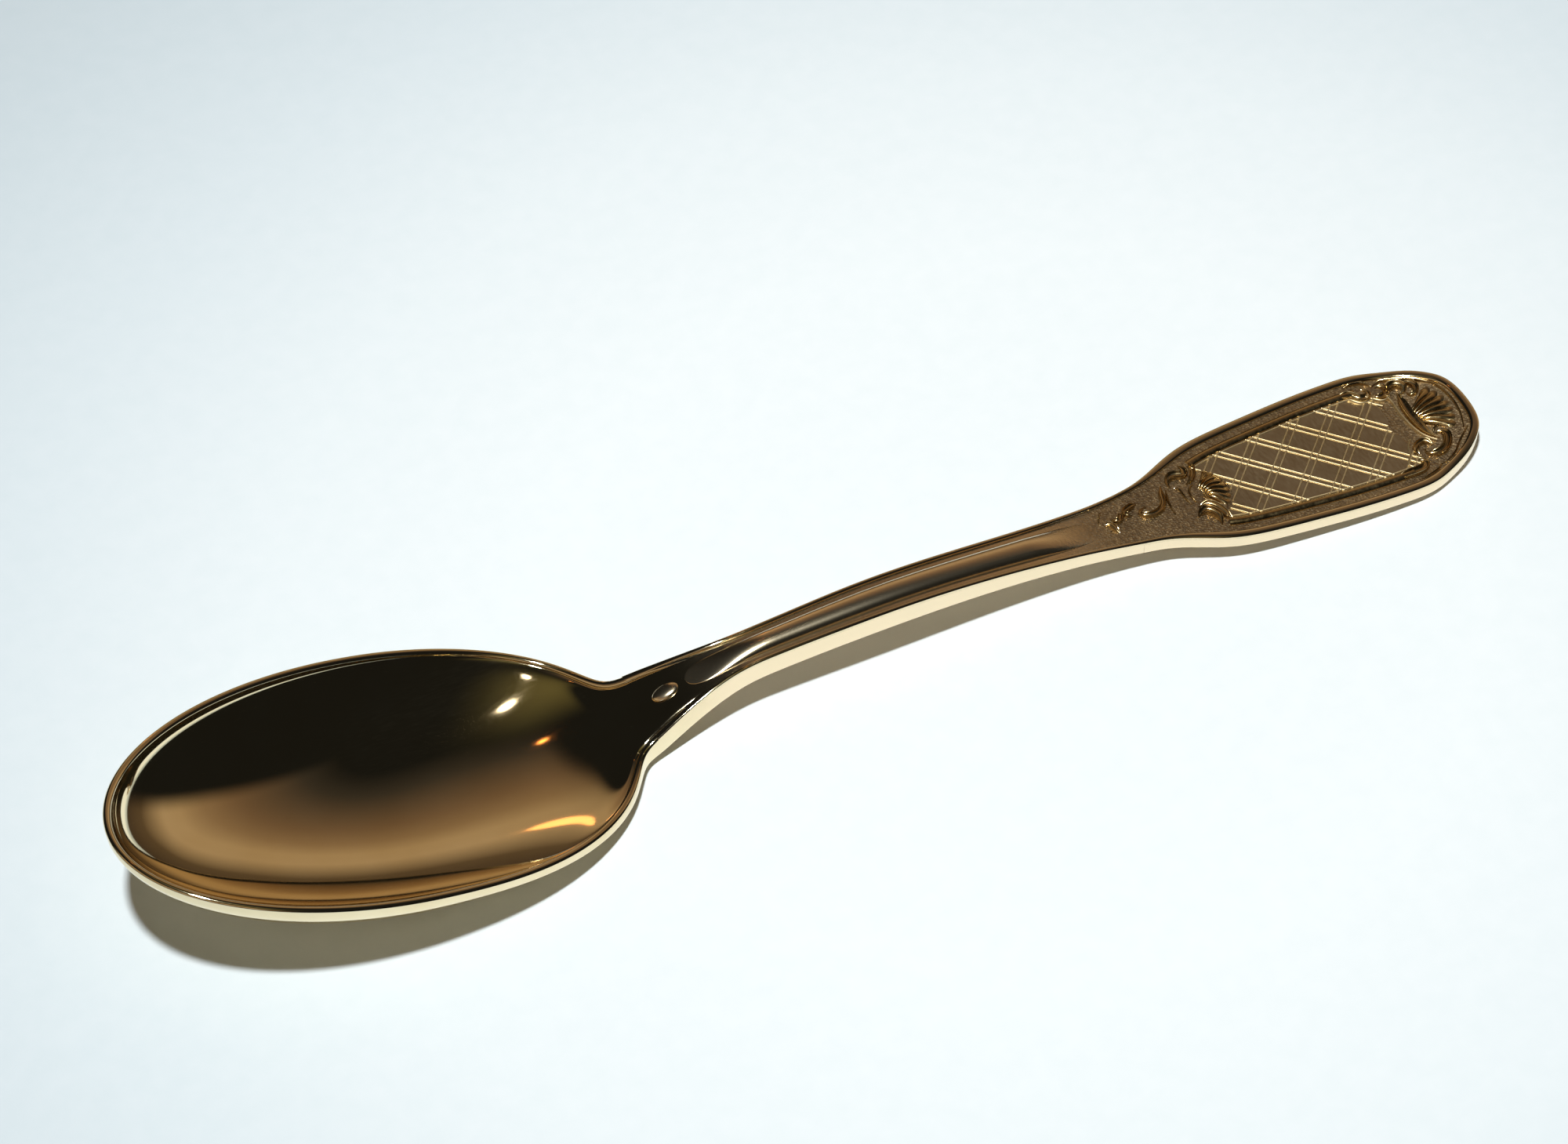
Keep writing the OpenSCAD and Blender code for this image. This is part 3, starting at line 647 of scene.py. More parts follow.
def under_h(x, y):
    """The height of the underside, round all over in the bowl and only at its edges in the handle."""
    w = width_at(x)
    r = np.minimum(mix(w, UNDER_R, ease((x - BOWL_L + NECK_L) / NECK_L)), np.maximum(w, 1e-6))
    s = np.clip(1 - (w - y) / r, 0, 1)
    return -side(x) - (under_at(x) - side(x)) * (1 - s ** CROSS_P) ** UNDER_Q


def lip(x):
    """How far the rim is rounded off. The roundness ends in the neck."""
    return LIP * (1 - ease((x - BOWL_L) / LIP_RUN))


print("the middle under the rim at the dip:", round(float(top_h(DIP_X, 0.0)), 2), "mm")

# %% [markdown]
# ## The blank: bowl, neck and stem
# Each ring of the blank runs across the spoon: over the top from the middle line to the rim, down the
# side, and back underneath. In the front of the bowl the rings fan out like spokes, so that the rim
# is as wide round the tip as at the sides. It could be three meshes, one for each node, but a seam in
# polished metal would show at once, so one skin stands for all three.

# %% Spokes of the blank
SPOKE_STEP, HUB_X, HUB_FAN, HUB_CUBE = 0.45, 11.7, 4, 2.068
stations = even(fine, SPOKE_STEP)
stations[0], stations[-1] = fine[0], fine[-1]
index = np.concatenate([[0], np.searchsorted(travelled(fine)[1:], travelled(stations)[1:])])
index = np.clip(index, 0, len(fine) - 1)
index[-1] = len(fine) - 1
outer_pt, inner_pt = fine[index], inner[index]
# The hubs move along the middle line with the spokes' angle, and reach the widest place at a right angle.
angle = np.arccos(np.clip((WIDEST - outer_pt[:, 0]) / WIDEST, 0, 1))
hub = np.where(outer_pt[:, 0] < WIDEST, HUB_X + HUB_FAN * angle + HUB_CUBE * angle ** 3, outer_pt[:, 0])
past = outer_pt[:, 0] > BOWL_L
inner_pt[past, 0] = outer_pt[past, 0]
axis_pt = np.stack([hub, 0 * hub], 1)
print("spokes:", len(stations))

# %% Skin of the blank
ACROSS, ROUND_RIM, SIDE_ROWS = 44, 17, (0.35, 0.7, 1.0)
STIPPLE_FROM, FACES_UP = 91, 0.9
c_top = np.sin(np.linspace(0, math.pi / 2, ACROSS))
t_rim = (1 - np.cos(np.linspace(0, math.pi, ROUND_RIM)))[1:] / 2


def half_ring(sign):
    """One side of every ring: the hollow, the lip, the upright side and the underside."""
    cols = []
    for c in c_top:
        p = axis_pt + c * (inner_pt - axis_pt)
        cols.append(spot(p[:, 0], p[:, 1], top_h(p[:, 0], p[:, 1]) - lip(p[:, 0]) * c ** LIP_P))
    for t in t_rim:
        p = inner_pt + t * (outer_pt - inner_pt)
        drop = lip(p[:, 0]) * (1 - math.sqrt(1 - (2 * t - 1) ** 2))
        cols.append(spot(p[:, 0], p[:, 1], -sunk(p[:, 0]) - drop))
    x, y = outer_pt.T
    for t in SIDE_ROWS:
        cols.append(spot(x, y, -mix(sunk(x) + lip(x), side(x), t)))
    for c in c_top[-2::-1]:
        p = axis_pt + c * (outer_pt - axis_pt)
        cols.append(spot(p[:, 0], p[:, 1], under_h(p[:, 0], p[:, 1])))
    return np.stack(cols, 1) * [1, sign, 1]


right, left = half_ring(1), half_ring(-1)
rings = np.concatenate([right, left[:, -2:0:-1]], 1)
blank = clothe(place(skins("blank", [rings], angle=50), "bowl", "neck", "stem"), polished)
blank.data.materials.append(stippled)
for face in blank.data.polygons:
    if face.center.x > (STIPPLE_FROM - OVERALL / 2) * MM and face.normal.z > FACES_UP:
        face.material_index = 1
print("rings of", rings.shape[1], "points:", len(rings))

# %% [markdown]
# ## The terminal
# The handle's end is a plate with a sunk and stippled top, an upright polished side and a rounded
# underside. It could be a flat mesh that is extruded and bevelled, but the border has to lie on the
# same edge to a hundredth of a millimetre, so its rings are cut from the same outline.

# %% Terminal plate
PLATE_COLS, BEND_ROWS, BEND_P = 10, 14, 1.2
side_t = HANDLE_SIDE * TERM_T
bend = np.linspace(0, math.pi / 2, BEND_ROWS)[1:]
heights = [mix(-SUNK, -side_t, u) for u in (0, *SIDE_ROWS)]
heights += list(-side_t - (TERM_T - side_t) * np.sin(bend) ** BEND_P)
insets = [0.0] * (1 + len(SIDE_ROWS)) + list(UNDER_R * (1 - np.cos(bend)))
outer_rail, last = rail(0), rail(UNDER_R)
cols = [seat(outer_rail * [1, c], -SUNK) for c in np.linspace(0, 1, PLATE_COLS)[:-1]]
cols += [seat(rail(i), h) for h, i in zip(heights, insets)]
cols += [seat(last * [1, c], -TERM_T) for c in np.linspace(1, 0, PLATE_COLS)[1:]]
half_plate = np.stack(cols, 1)
plate_rings = np.concatenate([half_plate, half_plate[:, -2:0:-1] * [1, -1, 1]], 1)
terminal = place(skins("terminal_plate", [plate_rings], angle=50), "terminal")
clothe(terminal, stippled)
terminal.data.materials.append(polished)
for face in terminal.data.polygons:
    if face.normal.z < FACES_UP:
        face.material_index = 1
print("the side of the plate is", round(side_t, 2), "mm high")

# %% [markdown]
# ## The border
# A thin thread runs along each edge of the stem and widens into the terminal's border, as the die cut
# it. Its section is the same all the way: flat on top, rounded to both sides. A curve with a bevel
# profile would twist at the tip, so the section's points run along the spoon's own outlines.

# %% Border
# Each row is a share of the border's breadth, counted from the spoon's edge, and a height.
BORDER_SECTION = [(1.0, -SUNK - 0.02), (0.97, -0.17), (0.9, -0.07), (0.78, -0.015), (0.6, 0.0), (0.4, 0.0),
                  (0.22, -0.015), (0.1, -0.05), (0.03, -0.1), (0.0, -0.16), (0.0, -SUNK - 0.02)]
BORDER_START, BORDER_ROWS, THREAD_RUN, WIDEN_SPANS, RIM_SHARE = 0.4, 120, 6, 4, 0.9
stem_x = np.linspace(BOWL_L - BORDER_START, JOINT_X, BORDER_ROWS)
thread = mix(RIM_W * RIM_SHARE, THREAD_W, ease((stem_x - BOWL_L) / THREAD_RUN))
stem_half = np.stack([spot(stem_x, width_at(stem_x) - t * thread, h) for t, h in BORDER_SECTION], 1)[:-1]
widen = ease(np.arange(len(outer_rail)) / (WIDEN_SPANS * SPAN))[:, None]
end_half = np.stack([seat(mix(rail(t * THREAD_W), rail(t * BORDER_W), widen), h)
                     for t, h in BORDER_SECTION], 1)
border_half = np.concatenate([stem_half, end_half])
border_rings = np.concatenate([border_half, border_half[-2::-1] * [1, -1, 1]])
clothe(place(skins("border_thread", [border_rings]), "border"), burnished)
print("rings round the border:", len(border_rings))

# %% [markdown]
# ## The rib and the pip
# A broad half-round rib follows the middle of the stem and fades out at both ends, and a small pip
# sits before it on the neck. Both are half-round loaves on the sunk ground, so one function makes
# their rings. A stretched sphere would do for the pip, but the rib's ground arches and widens under
# it.

# %% Rib and pip
RIB_FROM, RIB_TO, RIB_RISE, RIB_FALL = BOWL_L + 4.3, JOINT_X - 3.0, 9, 8
RIB_H, RIB_SHARE, RIB_BLUNT, RIB_P, FOOT = 0.75, 0.68, 12, 0.9, 0.05
PIP_X, PIP_L, PIP_W, PIP_H = 53.4, 1.3, 0.8, 0.3
RIB_ROWS, RIB_ROUND, RIB_LEAST = 160, 25, (0.05, 0.01)
PIP_ROWS, PIP_ROUND, PIP_LEAST = 41, 17, (0.03, 0.02)


def loaf(x, wide, high, count, power=1.0):
    """Half-round rings on the blank's ground, with their feet a little under it."""
    cols = []
    for a in np.linspace(0, math.pi, count):
        foot = FOOT if a in (0, math.pi) else 0
        cols.append(spot(x, -wide * math.cos(a), high * math.sin(a) ** power - sunk(x) - foot))
    return np.stack(cols, 1)


u = (1 - np.cos(np.linspace(0, math.pi, RIB_ROWS))) / 2
x = mix(RIB_FROM, RIB_TO, u)
full = ease((x - RIB_FROM) / RIB_RISE) * ease((RIB_TO - x) / RIB_FALL)
tips = np.sqrt(np.maximum(1 - np.abs(2 * u - 1) ** RIB_BLUNT, 0))
rib_w = np.maximum((width_at(x) - THREAD_W) * RIB_SHARE * tips, RIB_LEAST[0])
rib_rings = loaf(x, rib_w, np.maximum(RIB_H * full, RIB_LEAST[1]), RIB_ROUND, RIB_P)
k = np.linspace(-1, 1, PIP_ROWS)
swell = np.sqrt(np.maximum(1 - k * k, 0))
pip_w, pip_h = np.maximum(PIP_W * swell, PIP_LEAST[0]), np.maximum(PIP_H * swell, PIP_LEAST[1])
pip_rings = loaf(PIP_X + PIP_L * k, pip_w, pip_h, PIP_ROUND)
clothe(place(skins("stem_rib_round", [rib_rings, pip_rings], angle=60), "stem_rib"), stippled)
print("rib from", RIB_FROM, "to", RIB_TO, "mm")

# %% [markdown]
# ## The panel's frame
# The panel's ground keeps its CAD node and gets the satin finish. On its long sides lies a half-round
# moulding, which is a ridge along an inset of the terminal's outline. A curve with a bevel would give
# a round bar too, but its ends would stand off the sloping ground, so the ridge's rings are seated on
# it. The same ridge, in other sizes, later makes the trellis and the scrolls.

# %% Ridges and the panel's frame
PANEL_FROM, PANEL_TO, PANEL_H = 8.8, 30.0, 0.12
FRAME_INSET, FRAME_W, FRAME_H, FRAME_SHORT = 1.7, 1.0, 0.34, 1.6
# Each row is a share of a hollow ridge's half breadth, from its middle, and a share of its height.
FLUTE = [[0, 0.4], [0.35, 0.45], [0.6, 0.7], [0.75, 1], [0.87, 0.9], [0.96, 0.5], [1, 0]]
clothe(nodes["panel"], satin)


def ridge(path, width, height, ground, count=9, sink=0.03, flute=False):
    """A half-round ridge along a plane curve on the terminal, or one with a hollow along its back."""
    path = np.asarray(path, float)
    n = outward(path)
    cols = []
    for a in np.linspace(0, math.pi, count):
        off = np.asarray(width) / 2 * math.cos(a) * np.ones(len(path))
        rise = np.interp(abs(math.cos(a)), *np.transpose(FLUTE)) if flute else math.sin(a)
        foot = sink if a in (0, math.pi) else 0
        cols.append(seat(path + n * off[:, None], -SUNK + ground + np.asarray(height) * rise - foot))
    return np.stack(cols, 1)


mid = rail(FRAME_INSET + FRAME_W / 2)
mid = mid[(mid[:, 0] > PANEL_FROM) & (mid[:, 0] < PANEL_TO - FRAME_SHORT)]
frame_ridges = [ridge(mid * [1, turn], FRAME_W, FRAME_H, 0.0) for turn in (1, -1)]
clothe(place(skins("frame_ridges", frame_ridges), "panel_frame"), relief)
print("frame from", mid[0].round(2), "to", mid[-1].round(2))

# %% [markdown]
# ## The trellis
# The panel is crossed by double lines on both diagonals, with a thin line round it and small lobes at
# its far end. An image could draw them, but they are real relief and catch the light on one side, so
# each line is a low ridge. Lines are walked in short steps, and kept only where they lie inside the
# panel and clear of the shells.

# %% Lines of the trellis
PITCH, GAP, LINE_W, LINE_MORE, STRAP_H = 4.33, 0.64, 0.16, 0.06, 0.09
BASE_AT, BASE_R = 7.6, 3.4
TIP_AT, TIP_R, TIP_CLEAR = PLATE_L - 7.2, 5.0, 0.36
WALK, REACH, SHORTEST, EACH_WAY, CROSS_AT = 0.05, 20, 12, 9, PANEL_TO - 0.8
LINE_ROWS = {"count": 7, "sink": 0.02}
COARSE, LINE_INSET, LINE_FROM, LINE_SHORT = 8, 0.15, 0.4, 1
edge_in = rail(FRAME_INSET + FRAME_W, COARSE)


def inside_panel(p):
    """Which points lie within the frame and clear of both shells."""
    w = np.interp(p[:, 0], edge_in[:, 0], edge_in[:, 1])
    return ((p[:, 0] > PANEL_FROM) & (p[:, 0] < PANEL_TO) & (np.abs(p[:, 1]) < w)
            & (np.hypot(p[:, 0] - BASE_AT, p[:, 1]) > BASE_R)
            & (np.hypot(p[:, 0] - TIP_AT, p[:, 1]) > TIP_R * TIP_CLEAR))


straps = []
walk = np.arange(-REACH, REACH, WALK)[:, None]
for turn in (-1, 1):
    d = np.array([math.cos(math.pi / 4), turn * math.sin(math.pi / 4)])
    n = np.array([-d[1], d[0]])
    for i in range(-EACH_WAY, EACH_WAY + 1):
        for off in (-GAP / 2, GAP / 2):
            p = np.array([CROSS_AT + i * PITCH, 0]) + walk * d + off * n
            ok = inside_panel(p)
            for run in np.split(np.arange(len(p)), np.where(np.diff(ok.astype(int)) != 0)[0] + 1):
                if ok[run[0]] and len(run) > SHORTEST:
                    wide = LINE_W + LINE_MORE * (turn > 0)
                    straps.append(ridge(p[[run[0], run[-1]]], wide, STRAP_H, PANEL_H, **LINE_ROWS))
rim_line = rail(FRAME_INSET + FRAME_W + LINE_INSET)
rim_line = rim_line[(rim_line[:, 0] > PANEL_FROM + LINE_FROM) & (rim_line[:, 0] < PANEL_TO - LINE_SHORT)]
for turn in (1, -1):
    straps.append(ridge(rim_line * [1, turn], LINE_W, STRAP_H, PANEL_H, **LINE_ROWS))
print("straight and long lines:", len(straps))

# %% [markdown]
# ## Lobes at the panel's far end
# The far end of the panel isn't cut straight. Thin lines with small lobes close it against the
# scrolls. They could be arcs, but the struck ones swing freely, so a few leading points draw each of
# them.

# %% Lobes at the panel's far end
CURVE_STEP, LOBE_SPAN, LOBE_W, LOBE_H = 0.07, 16, 0.24, 0.3
# Each row is the points that lead one line, from the plate's end.
EDGE_LINES = [[[-7.1, 4.2], [-6.9, 3.1], [-7.1, 1.3], [-6.9, -0.6], [-6.5, -2.2], [-5.6, -3.3]],
              [[-10.6, 5.2], [-10.1, 4.3], [-9.2, 4.1], [-8.4, 4.4], [-8.1, 3.8], [-7.2, 3.6], [-6.7, 4.1]],
              [[-8.0, -2.0], [-8.7, -2.8], [-8.9, -3.9], [-9.4, -4.2], [-9.9, -4.9], [-9.5, -5.3]],
              [[-6.6, 5.4], [-5.9, 5.7], [-5.2, 5.4], [-4.5, 5.2], [-3.7, 4.5]]]


def with_ends(points):
    """Leading points with one more past each end, so that the curve reaches the outermost ones."""
    p = np.array(points, float)
    return np.concatenate([[2 * p[0] - p[1]], p, [2 * p[-1] - p[-2]]])


for points in EDGE_LINES:
    lobe = even(spline(with_ends(points), LOBE_SPAN) + [PLATE_L, 0], CURVE_STEP)
    straps.append(ridge(lobe, LOBE_W, LOBE_H, 0))
trellis = clothe(place(skins("trellis_straps", straps), "trellis"), worn)
print("lines of the trellis:", len(straps))

# %% [markdown]
# ## The shells
# A fluted shell stands at each end of the panel. It is a fan of ribs round one centre: the radius and
# the height both follow the ribs, so the outer edge is scalloped. Copies of one rib could be merged,
# but their seams would show, so the fan is one grid in rings and spokes, with a skirt down to the
# ground.

# %% Shells
SHELL_H, SHELL_RIBS, SHELL_ASIDE, FAN_ROWS, RIB_COLS = 0.42, 7, 0.4, 36, 14
VALLEY, INNER_R, OUTER_R, SCALLOP, RIB_FULL, DOME_FULL = 0.3, 0.22, 0.88, 0.12, 0.7, 0.7
SKIRT, UNDER_GROUND = 0.08, 0.02
FAN_COLS = SHELL_RIBS * RIB_COLS


def loop_round(rows, cols):
    """The numbers of a grid's points round its edge, one after the other."""
    loop = list(range(cols + 1)) + [i * (cols + 1) + cols for i in range(1, rows + 1)]
    loop += [rows * (cols + 1) + j for j in range(cols - 1, -1, -1)]
    return loop + [i * (cols + 1) for i in range(rows - 1, 0, -1)]


def fan(name, node, at, radius, spread):
    """A shell of ribs round a place on the plate, spread so many degrees to each side."""
    j = np.arange(FAN_COLS + 1)
    a = np.radians(mix(-spread, spread, j / FAN_COLS))
    crest = mix(VALLEY, 1, np.abs(np.sin(math.pi * SHELL_RIBS * j / FAN_COLS)) ** RIB_FULL)
    rings = []
    for k in np.arange(FAN_ROWS + 1) / FAN_ROWS:
        q = radius * mix(INNER_R, OUTER_R + SCALLOP * crest, k)
        h = np.maximum(SHELL_H * np.sin(math.pi * k ** DOME_FULL), SKIRT) * crest
        rings.append(seat(np.stack([at + q * np.cos(a), SHELL_ASIDE + q * np.sin(a)], 1), -SUNK + h))
    top = np.concatenate(rings)
    loop = loop_round(FAN_ROWS, FAN_COLS)
    low = top[loop].copy()
    ground_z = JOINT_Z + (low[:, 0] - JOINT_X) * END_SLOPE - SUNK - UNDER_GROUND
    low[:, 2] = np.minimum(low[:, 2] - SKIRT, ground_z)
    m, base = len(loop), len(top)
    faces = grid_faces(FAN_ROWS + 1, FAN_COLS + 1)
    faces += [(loop[k], base + k, base + (k + 1) % m, loop[(k + 1) % m]) for k in range(m)]
    faces.append(tuple(base + k for k in range(m - 1, -1, -1)))
    return clothe(place(make_mesh(name, np.concatenate([top, low]), faces, angle=60), node), relief)


fan("end_shell", "tip_shell", TIP_AT, TIP_R, spread=38)
fan("inner_shell", "base_shell", BASE_AT, BASE_R, spread=50)
print("points round a shell's edge:", len(loop_round(FAN_ROWS, FAN_COLS)))

# %% [markdown]
# ## Scrolls
# Round the shells lie small C-scrolls, bands and a tendril that runs down the stem. Each could be
# sculpted by hand, but few leading points are easier to change, so a scroll is a ridge again: it
# swells from a fine point, keeps its breadth and tapers away. Broad ones have a hollow along the back
# between two raised edges. Scrolls at the tip are kept inside the border, as the die's own edge would
# keep them.

# %% Helpers for scrolls
KERB, KERB_SOFT, SWELL_AT, HOLLOW_OVER = 0.2, 0.12, 0.4, 0.5
END_W, END_H, SWELL_P, BROAD_ROUND, PLAIN_ROUND = 0.16, 0.1, 3, 21, 9
kerb = rail(BORDER_W + KERB)


def scroll(points, at, wide, tall):
    """A ridge led by points that keeps its breadth and tapers to its ends."""
    p = with_ends(points)
    c = np.concatenate([spline(p, SPAN), [(p[-3] + 4 * p[-2] + p[-1]) / 6]])
    c = even(c, CURVE_STEP) + [at, 0]
    if at:
        c[:, 0] = np.minimum(c[:, 0], kerb[-1, 0])
        limit = np.interp(c[:, 0], kerb[:, 0], kerb[:, 1])
        c[:, 1] = np.clip(c[:, 1], -limit, limit)
        c = even(smoothed(c, CURVE_STEP, KERB_SOFT), CURVE_STEP)
    k = np.linspace(0, 1, len(c))
    f = np.where(k < SWELL_AT, ease(k / SWELL_AT), ease((1 - k) / (1 - SWELL_AT)))
    f = 1 - (1 - f) ** SWELL_P
    broad = wide > HOLLOW_OVER
    count = BROAD_ROUND if broad else PLAIN_ROUND
    return ridge(c, mix(END_W, wide, f), mix(END_H, tall, f), 0.0, count, flute=broad)


def scrolls(name, node, at, rows):
    """One piece from all the scrolls that stand for a node."""
    return clothe(place(skins(name, [scroll(p, at, w, h) for w, h, p in rows]), node), relief)


print("scrolls stay", round(float(kerb[-1, 0]), 2), "mm or less from the joint")

# %% Scrolls
# Each row is a ridge's breadth, its height and the points that lead it, from the plate's end or its start.
BROAD, MIDDLE, THIN, LIP_LINE = (0.95, 0.5), (0.7, 0.42), (0.26, 0.26), (0.36, 0.4)
TIP_ROWS = [
    (*BROAD, [[-5.3, -2.4], [-4.6, -2.3], [-4.4, -3.1], [-4.9, -4.1], [-5.8, -4.7], [-6.9, -4.6],
              [-7.4, -4.1], [-7.2, -3.6]]),
    (*THIN, [[-5.5, -2.2], [-5.0, -1.5], [-4.1, -1.5], [-3.6, -2.3]]),
    (0.95, 0.45, [[-5.9, 4.0], [-6.1, 3.0], [-6.3, 1.3], [-6.2, -0.5], [-5.9, -2.1], [-5.2, -3.0]]),
    (*MIDDLE, [[-6.3, -3.5], [-6.5, -2.8], [-7.2, -2.6], [-8.0, -3.0], [-8.3, -3.8], [-8.0, -4.3]]),
    (*BROAD, [[-11.8, -5.9], [-10.0, -5.9], [-8.8, -5.9], [-8.1, -5.5], [-8.1, -4.8], [-8.8, -4.7],
              [-9.1, -5.2]]),
    (*BROAD, [[-11.8, 5.9], [-10.4, 5.8], [-10.1, 5.1], [-9.5, 4.6], [-8.6, 4.8], [-8.4, 5.6],
              [-8.9, 6.0]]),
    (*MIDDLE, [[-8.4, 4.8], [-8.0, 4.2], [-7.2, 4.2], [-6.6, 4.8], [-6.8, 5.6], [-7.5, 5.6]]),
    (*BROAD, [[-6.7, 4.2], [-6.4, 5.0], [-5.6, 5.1], [-5.0, 4.5], [-5.2, 3.8], [-5.8, 3.7]]),
    (*MIDDLE, [[-5.0, 5.1], [-4.3, 4.7], [-3.9, 3.9], [-4.3, 3.1], [-5.0, 3.0], [-5.1, 3.6]]),
    (*LIP_LINE, [[-10.4, 6.9], [-9.3, 7.0], [-8.6, 6.8], [-7.9, 6.3], [-7.7, 5.9]]),
    (*LIP_LINE, [[-7.7, 5.9], [-7.0, 6.2], [-6.2, 6.2], [-5.3, 5.9], [-4.4, 5.5], [-3.5, 5.3], [-2.6, 5.1],
                 [-2.2, 4.7]]),
    (0.22, 0.3, [[-3.4, 4.6], [-2.3, 3.6], [-1.8, 1.8], [-1.7, -0.1], [-2.0, -1.8], [-2.6, -3.1]]),
    (*THIN, [[-2.2, -3.1], [-3.1, -3.8], [-4.1, -4.6], [-4.8, -5.4], [-5.7, -5.9], [-6.8, -6.0]]),
    (*THIN, [[-6.8, -6.0], [-7.4, -6.6], [-8.4, -6.9], [-9.5, -7.0]]),
]
BASE_ROWS = [
    (*BROAD, [[7.1, -1.2], [7.9, -1.2], [8.6, -2.0], [8.9, -3.0], [9.3, -4.3]]),
    (*BROAD, [[6.4, -2.4], [7.0, -1.9], [7.6, -1.9], [8.1, -2.6], [8.3, -3.5], [8.0, -4.2]]),
    (*BROAD, [[7.8, 4.4], [7.9, 3.6], [7.7, 2.9], [7.0, 3.3], [6.3, 3.4], [5.7, 2.8], [5.7, 2.1]]),
    (*MIDDLE, [[8.9, 4.4], [8.9, 3.7], [8.7, 3.0], [8.2, 2.2], [7.3, 1.8]]),
    (*THIN, [[6.0, 1.9], [6.5, 1.7], [6.4, 0.5], [6.6, -0.7]]),
    (*THIN, [[7.9, 1.6], [7.2, 1.2], [7.0, 0.3], [7.2, -0.6]]),
]
TENDRIL_ROWS = [
    (0.7, 0.45, [[5.0, 2.7], [4.4, 1.7], [4.3, 0.6], [3.4, -0.3], [2.3, -0.4], [1.4, 0.0], [1.5, 0.6],
                 [2.4, 0.9]]),
    (*THIN, [[5.2, 2.0], [4.6, 0.5], [4.6, -1.1]]),
    (*MIDDLE, [[1.7, 1.6], [0.9, 1.4], [0.1, 1.2], [0.1, 0.5], [0.7, 0.4]]),
    (*MIDDLE, [[-0.3, 1.2], [-0.6, 0.2], [-1.3, 0.3], [-1.4, 0.9]]),
    (*MIDDLE, [[-2.4, 0.3], [-1.9, 0.3], [-1.7, -0.5], [-1.5, -1.2]]),
    (*THIN, [[-1.9, 2.0], [-2.4, 1.5], [-2.8, 0.8], [-2.7, 0.1]]),
]
scrolls("end_scrolls", "tip_scrolls", PLATE_L, TIP_ROWS)
scrolls("inner_scrolls", "base_scrolls", 0, BASE_ROWS)
scrolls("tendril_scrolls", "tendril", 0, TENDRIL_ROWS)
print("scrolls:", len(TIP_ROWS) + len(BASE_ROWS) + len(TENDRIL_ROWS))

# %% [markdown]
# ## The floor
# The spoon lies on a sheet of white paper under a small bright lamp, so the paper is white round the
# spoon and grey-blue farther away. A gradient in the paper's own colour does this, because a lamp
# with such an edge would also change the lights on the metal. Far out the paper turns clear, and the
# pale horizon takes over.

# %% Floor
SHEET, BELOW, CLEAR_FROM, CLEAR_TO = 6000, 0.02, 600, 1400
deselect()
bpy.ops.mesh.primitive_plane_add(size=SHEET * MM, location=(0, 0, -BELOW * MM))
floor = bpy.context.object
floor.name = "floor"
print("the sheet lies", BELOW, "mm under the spoon and is clear past", CLEAR_TO, "mm")

# %% Paper
# Uncoated paper: it scatters all light and never shines, and clumps of its fibres tint it very faintly.
LIT_AT, LIT_R, DIM_R, FIBRES = 20, 45, 150, (0.4, 0.4, 0.4)
paper, tree, coords = start_material("paper")
space = add(tree, "ShaderNodeMapping", {"Vector": coords, "Scale": per_mm(*FIBRES)}).outputs["Vector"]
fibre = add(tree, "ShaderNodeTexNoise", {"Vector": space, "Scale": 1.0, "Detail": 4.0}).outputs["Fac"]
tint = add(tree, "ShaderNodeValToRGB", {"Fac": fibre}, [
    (0.3, linear("#F3F7F8")), (0.7, linear("#F6F9FA"))])
# The paper's colour darkens with distance from a point beside the spoon. This is a painted pool of the
# small lamp's light: white near the spoon and grey-blue farther away.
from_lit = add(tree, "ShaderNodeVectorMath", {0: coords, 1: [LIT_AT * MM, 0, 0]}, operation="DISTANCE")
away = add(tree, "ShaderNodeMapRange", {
    "Value": from_lit.outputs["Value"], "From Min": LIT_R * MM, "From Max": DIM_R * MM}).outputs["Result"]
painted_light_falloff = add(tree, "ShaderNodeValToRGB", {"Fac": away}, [
    (0.0, (1, 1, 1, 1)), (0.25, (0.93, 0.945, 0.955, 1)), (0.5, (0.81, 0.845, 0.87, 1)),
    (0.75, (0.7, 0.745, 0.775, 1)), (1.0, (0.62, 0.66, 0.69, 1))])
tone = add(tree, "ShaderNodeMix", {0: 1.0, 6: tint.outputs["Color"], 7: painted_light_falloff.outputs["Color"]},
           data_type="RGBA", blend_type="MULTIPLY")
sheet = add(tree, "ShaderNodeBsdfDiffuse", {"Color": tone.outputs[2]})
reach = add(tree, "ShaderNodeVectorMath", {0: coords}, operation="LENGTH").outputs["Value"]
fade = add(tree, "ShaderNodeMapRange", {
    "Value": reach, "From Min": CLEAR_FROM * MM, "From Max": CLEAR_TO * MM}, **SOFT)
clear = add(tree, "ShaderNodeBsdfTransparent")
edge = add(tree, "ShaderNodeMixShader", {
    0: fade.outputs["Result"], 1: sheet.outputs["BSDF"], 2: clear.outputs["BSDF"]})
add(tree, "ShaderNodeOutputMaterial", {"Surface": edge.outputs["Shader"]})
clothe(floor, paper)
print("paper is brightest within", LIT_R, "mm of the spoon")

# %% [markdown]
# ## The lamps
# One white lamp hangs nearly over the spoon. It is small, so the shadow is short with a crisp edge. A
# wide soft lamp would light the paper as well, but it would fill the shadow and cover the bowl with
# one large white patch. Three weak lamps light almost nothing, and the bowl mirrors them as the small
# white and orange glints of the photograph.

# %% Lamps
# A lamp has a width in millimetres, a power in watts, a colour, a place and what it is turned to.
def lamp(name, size, power, colour, place_mm, aim_mm=(0, 0, 0)):
    """A soft round lamp at a place, turned to what it lights."""
    deselect()
    bpy.ops.object.light_add(type="AREA")
    obj = bpy.context.object
    obj.name = name
    obj.data.shape = "DISK"
    obj.data.size = size * MM
    obj.data.energy = power
    obj.data.color = linear(colour)[:3]
    obj.location = Vector(place_mm) * MM
    obj.rotation_euler = (Vector(place_mm) - Vector(aim_mm)).to_track_quat("Z", "Y").to_euler()
    print(name, "lamp at", place_mm, "mm with", power, "W")


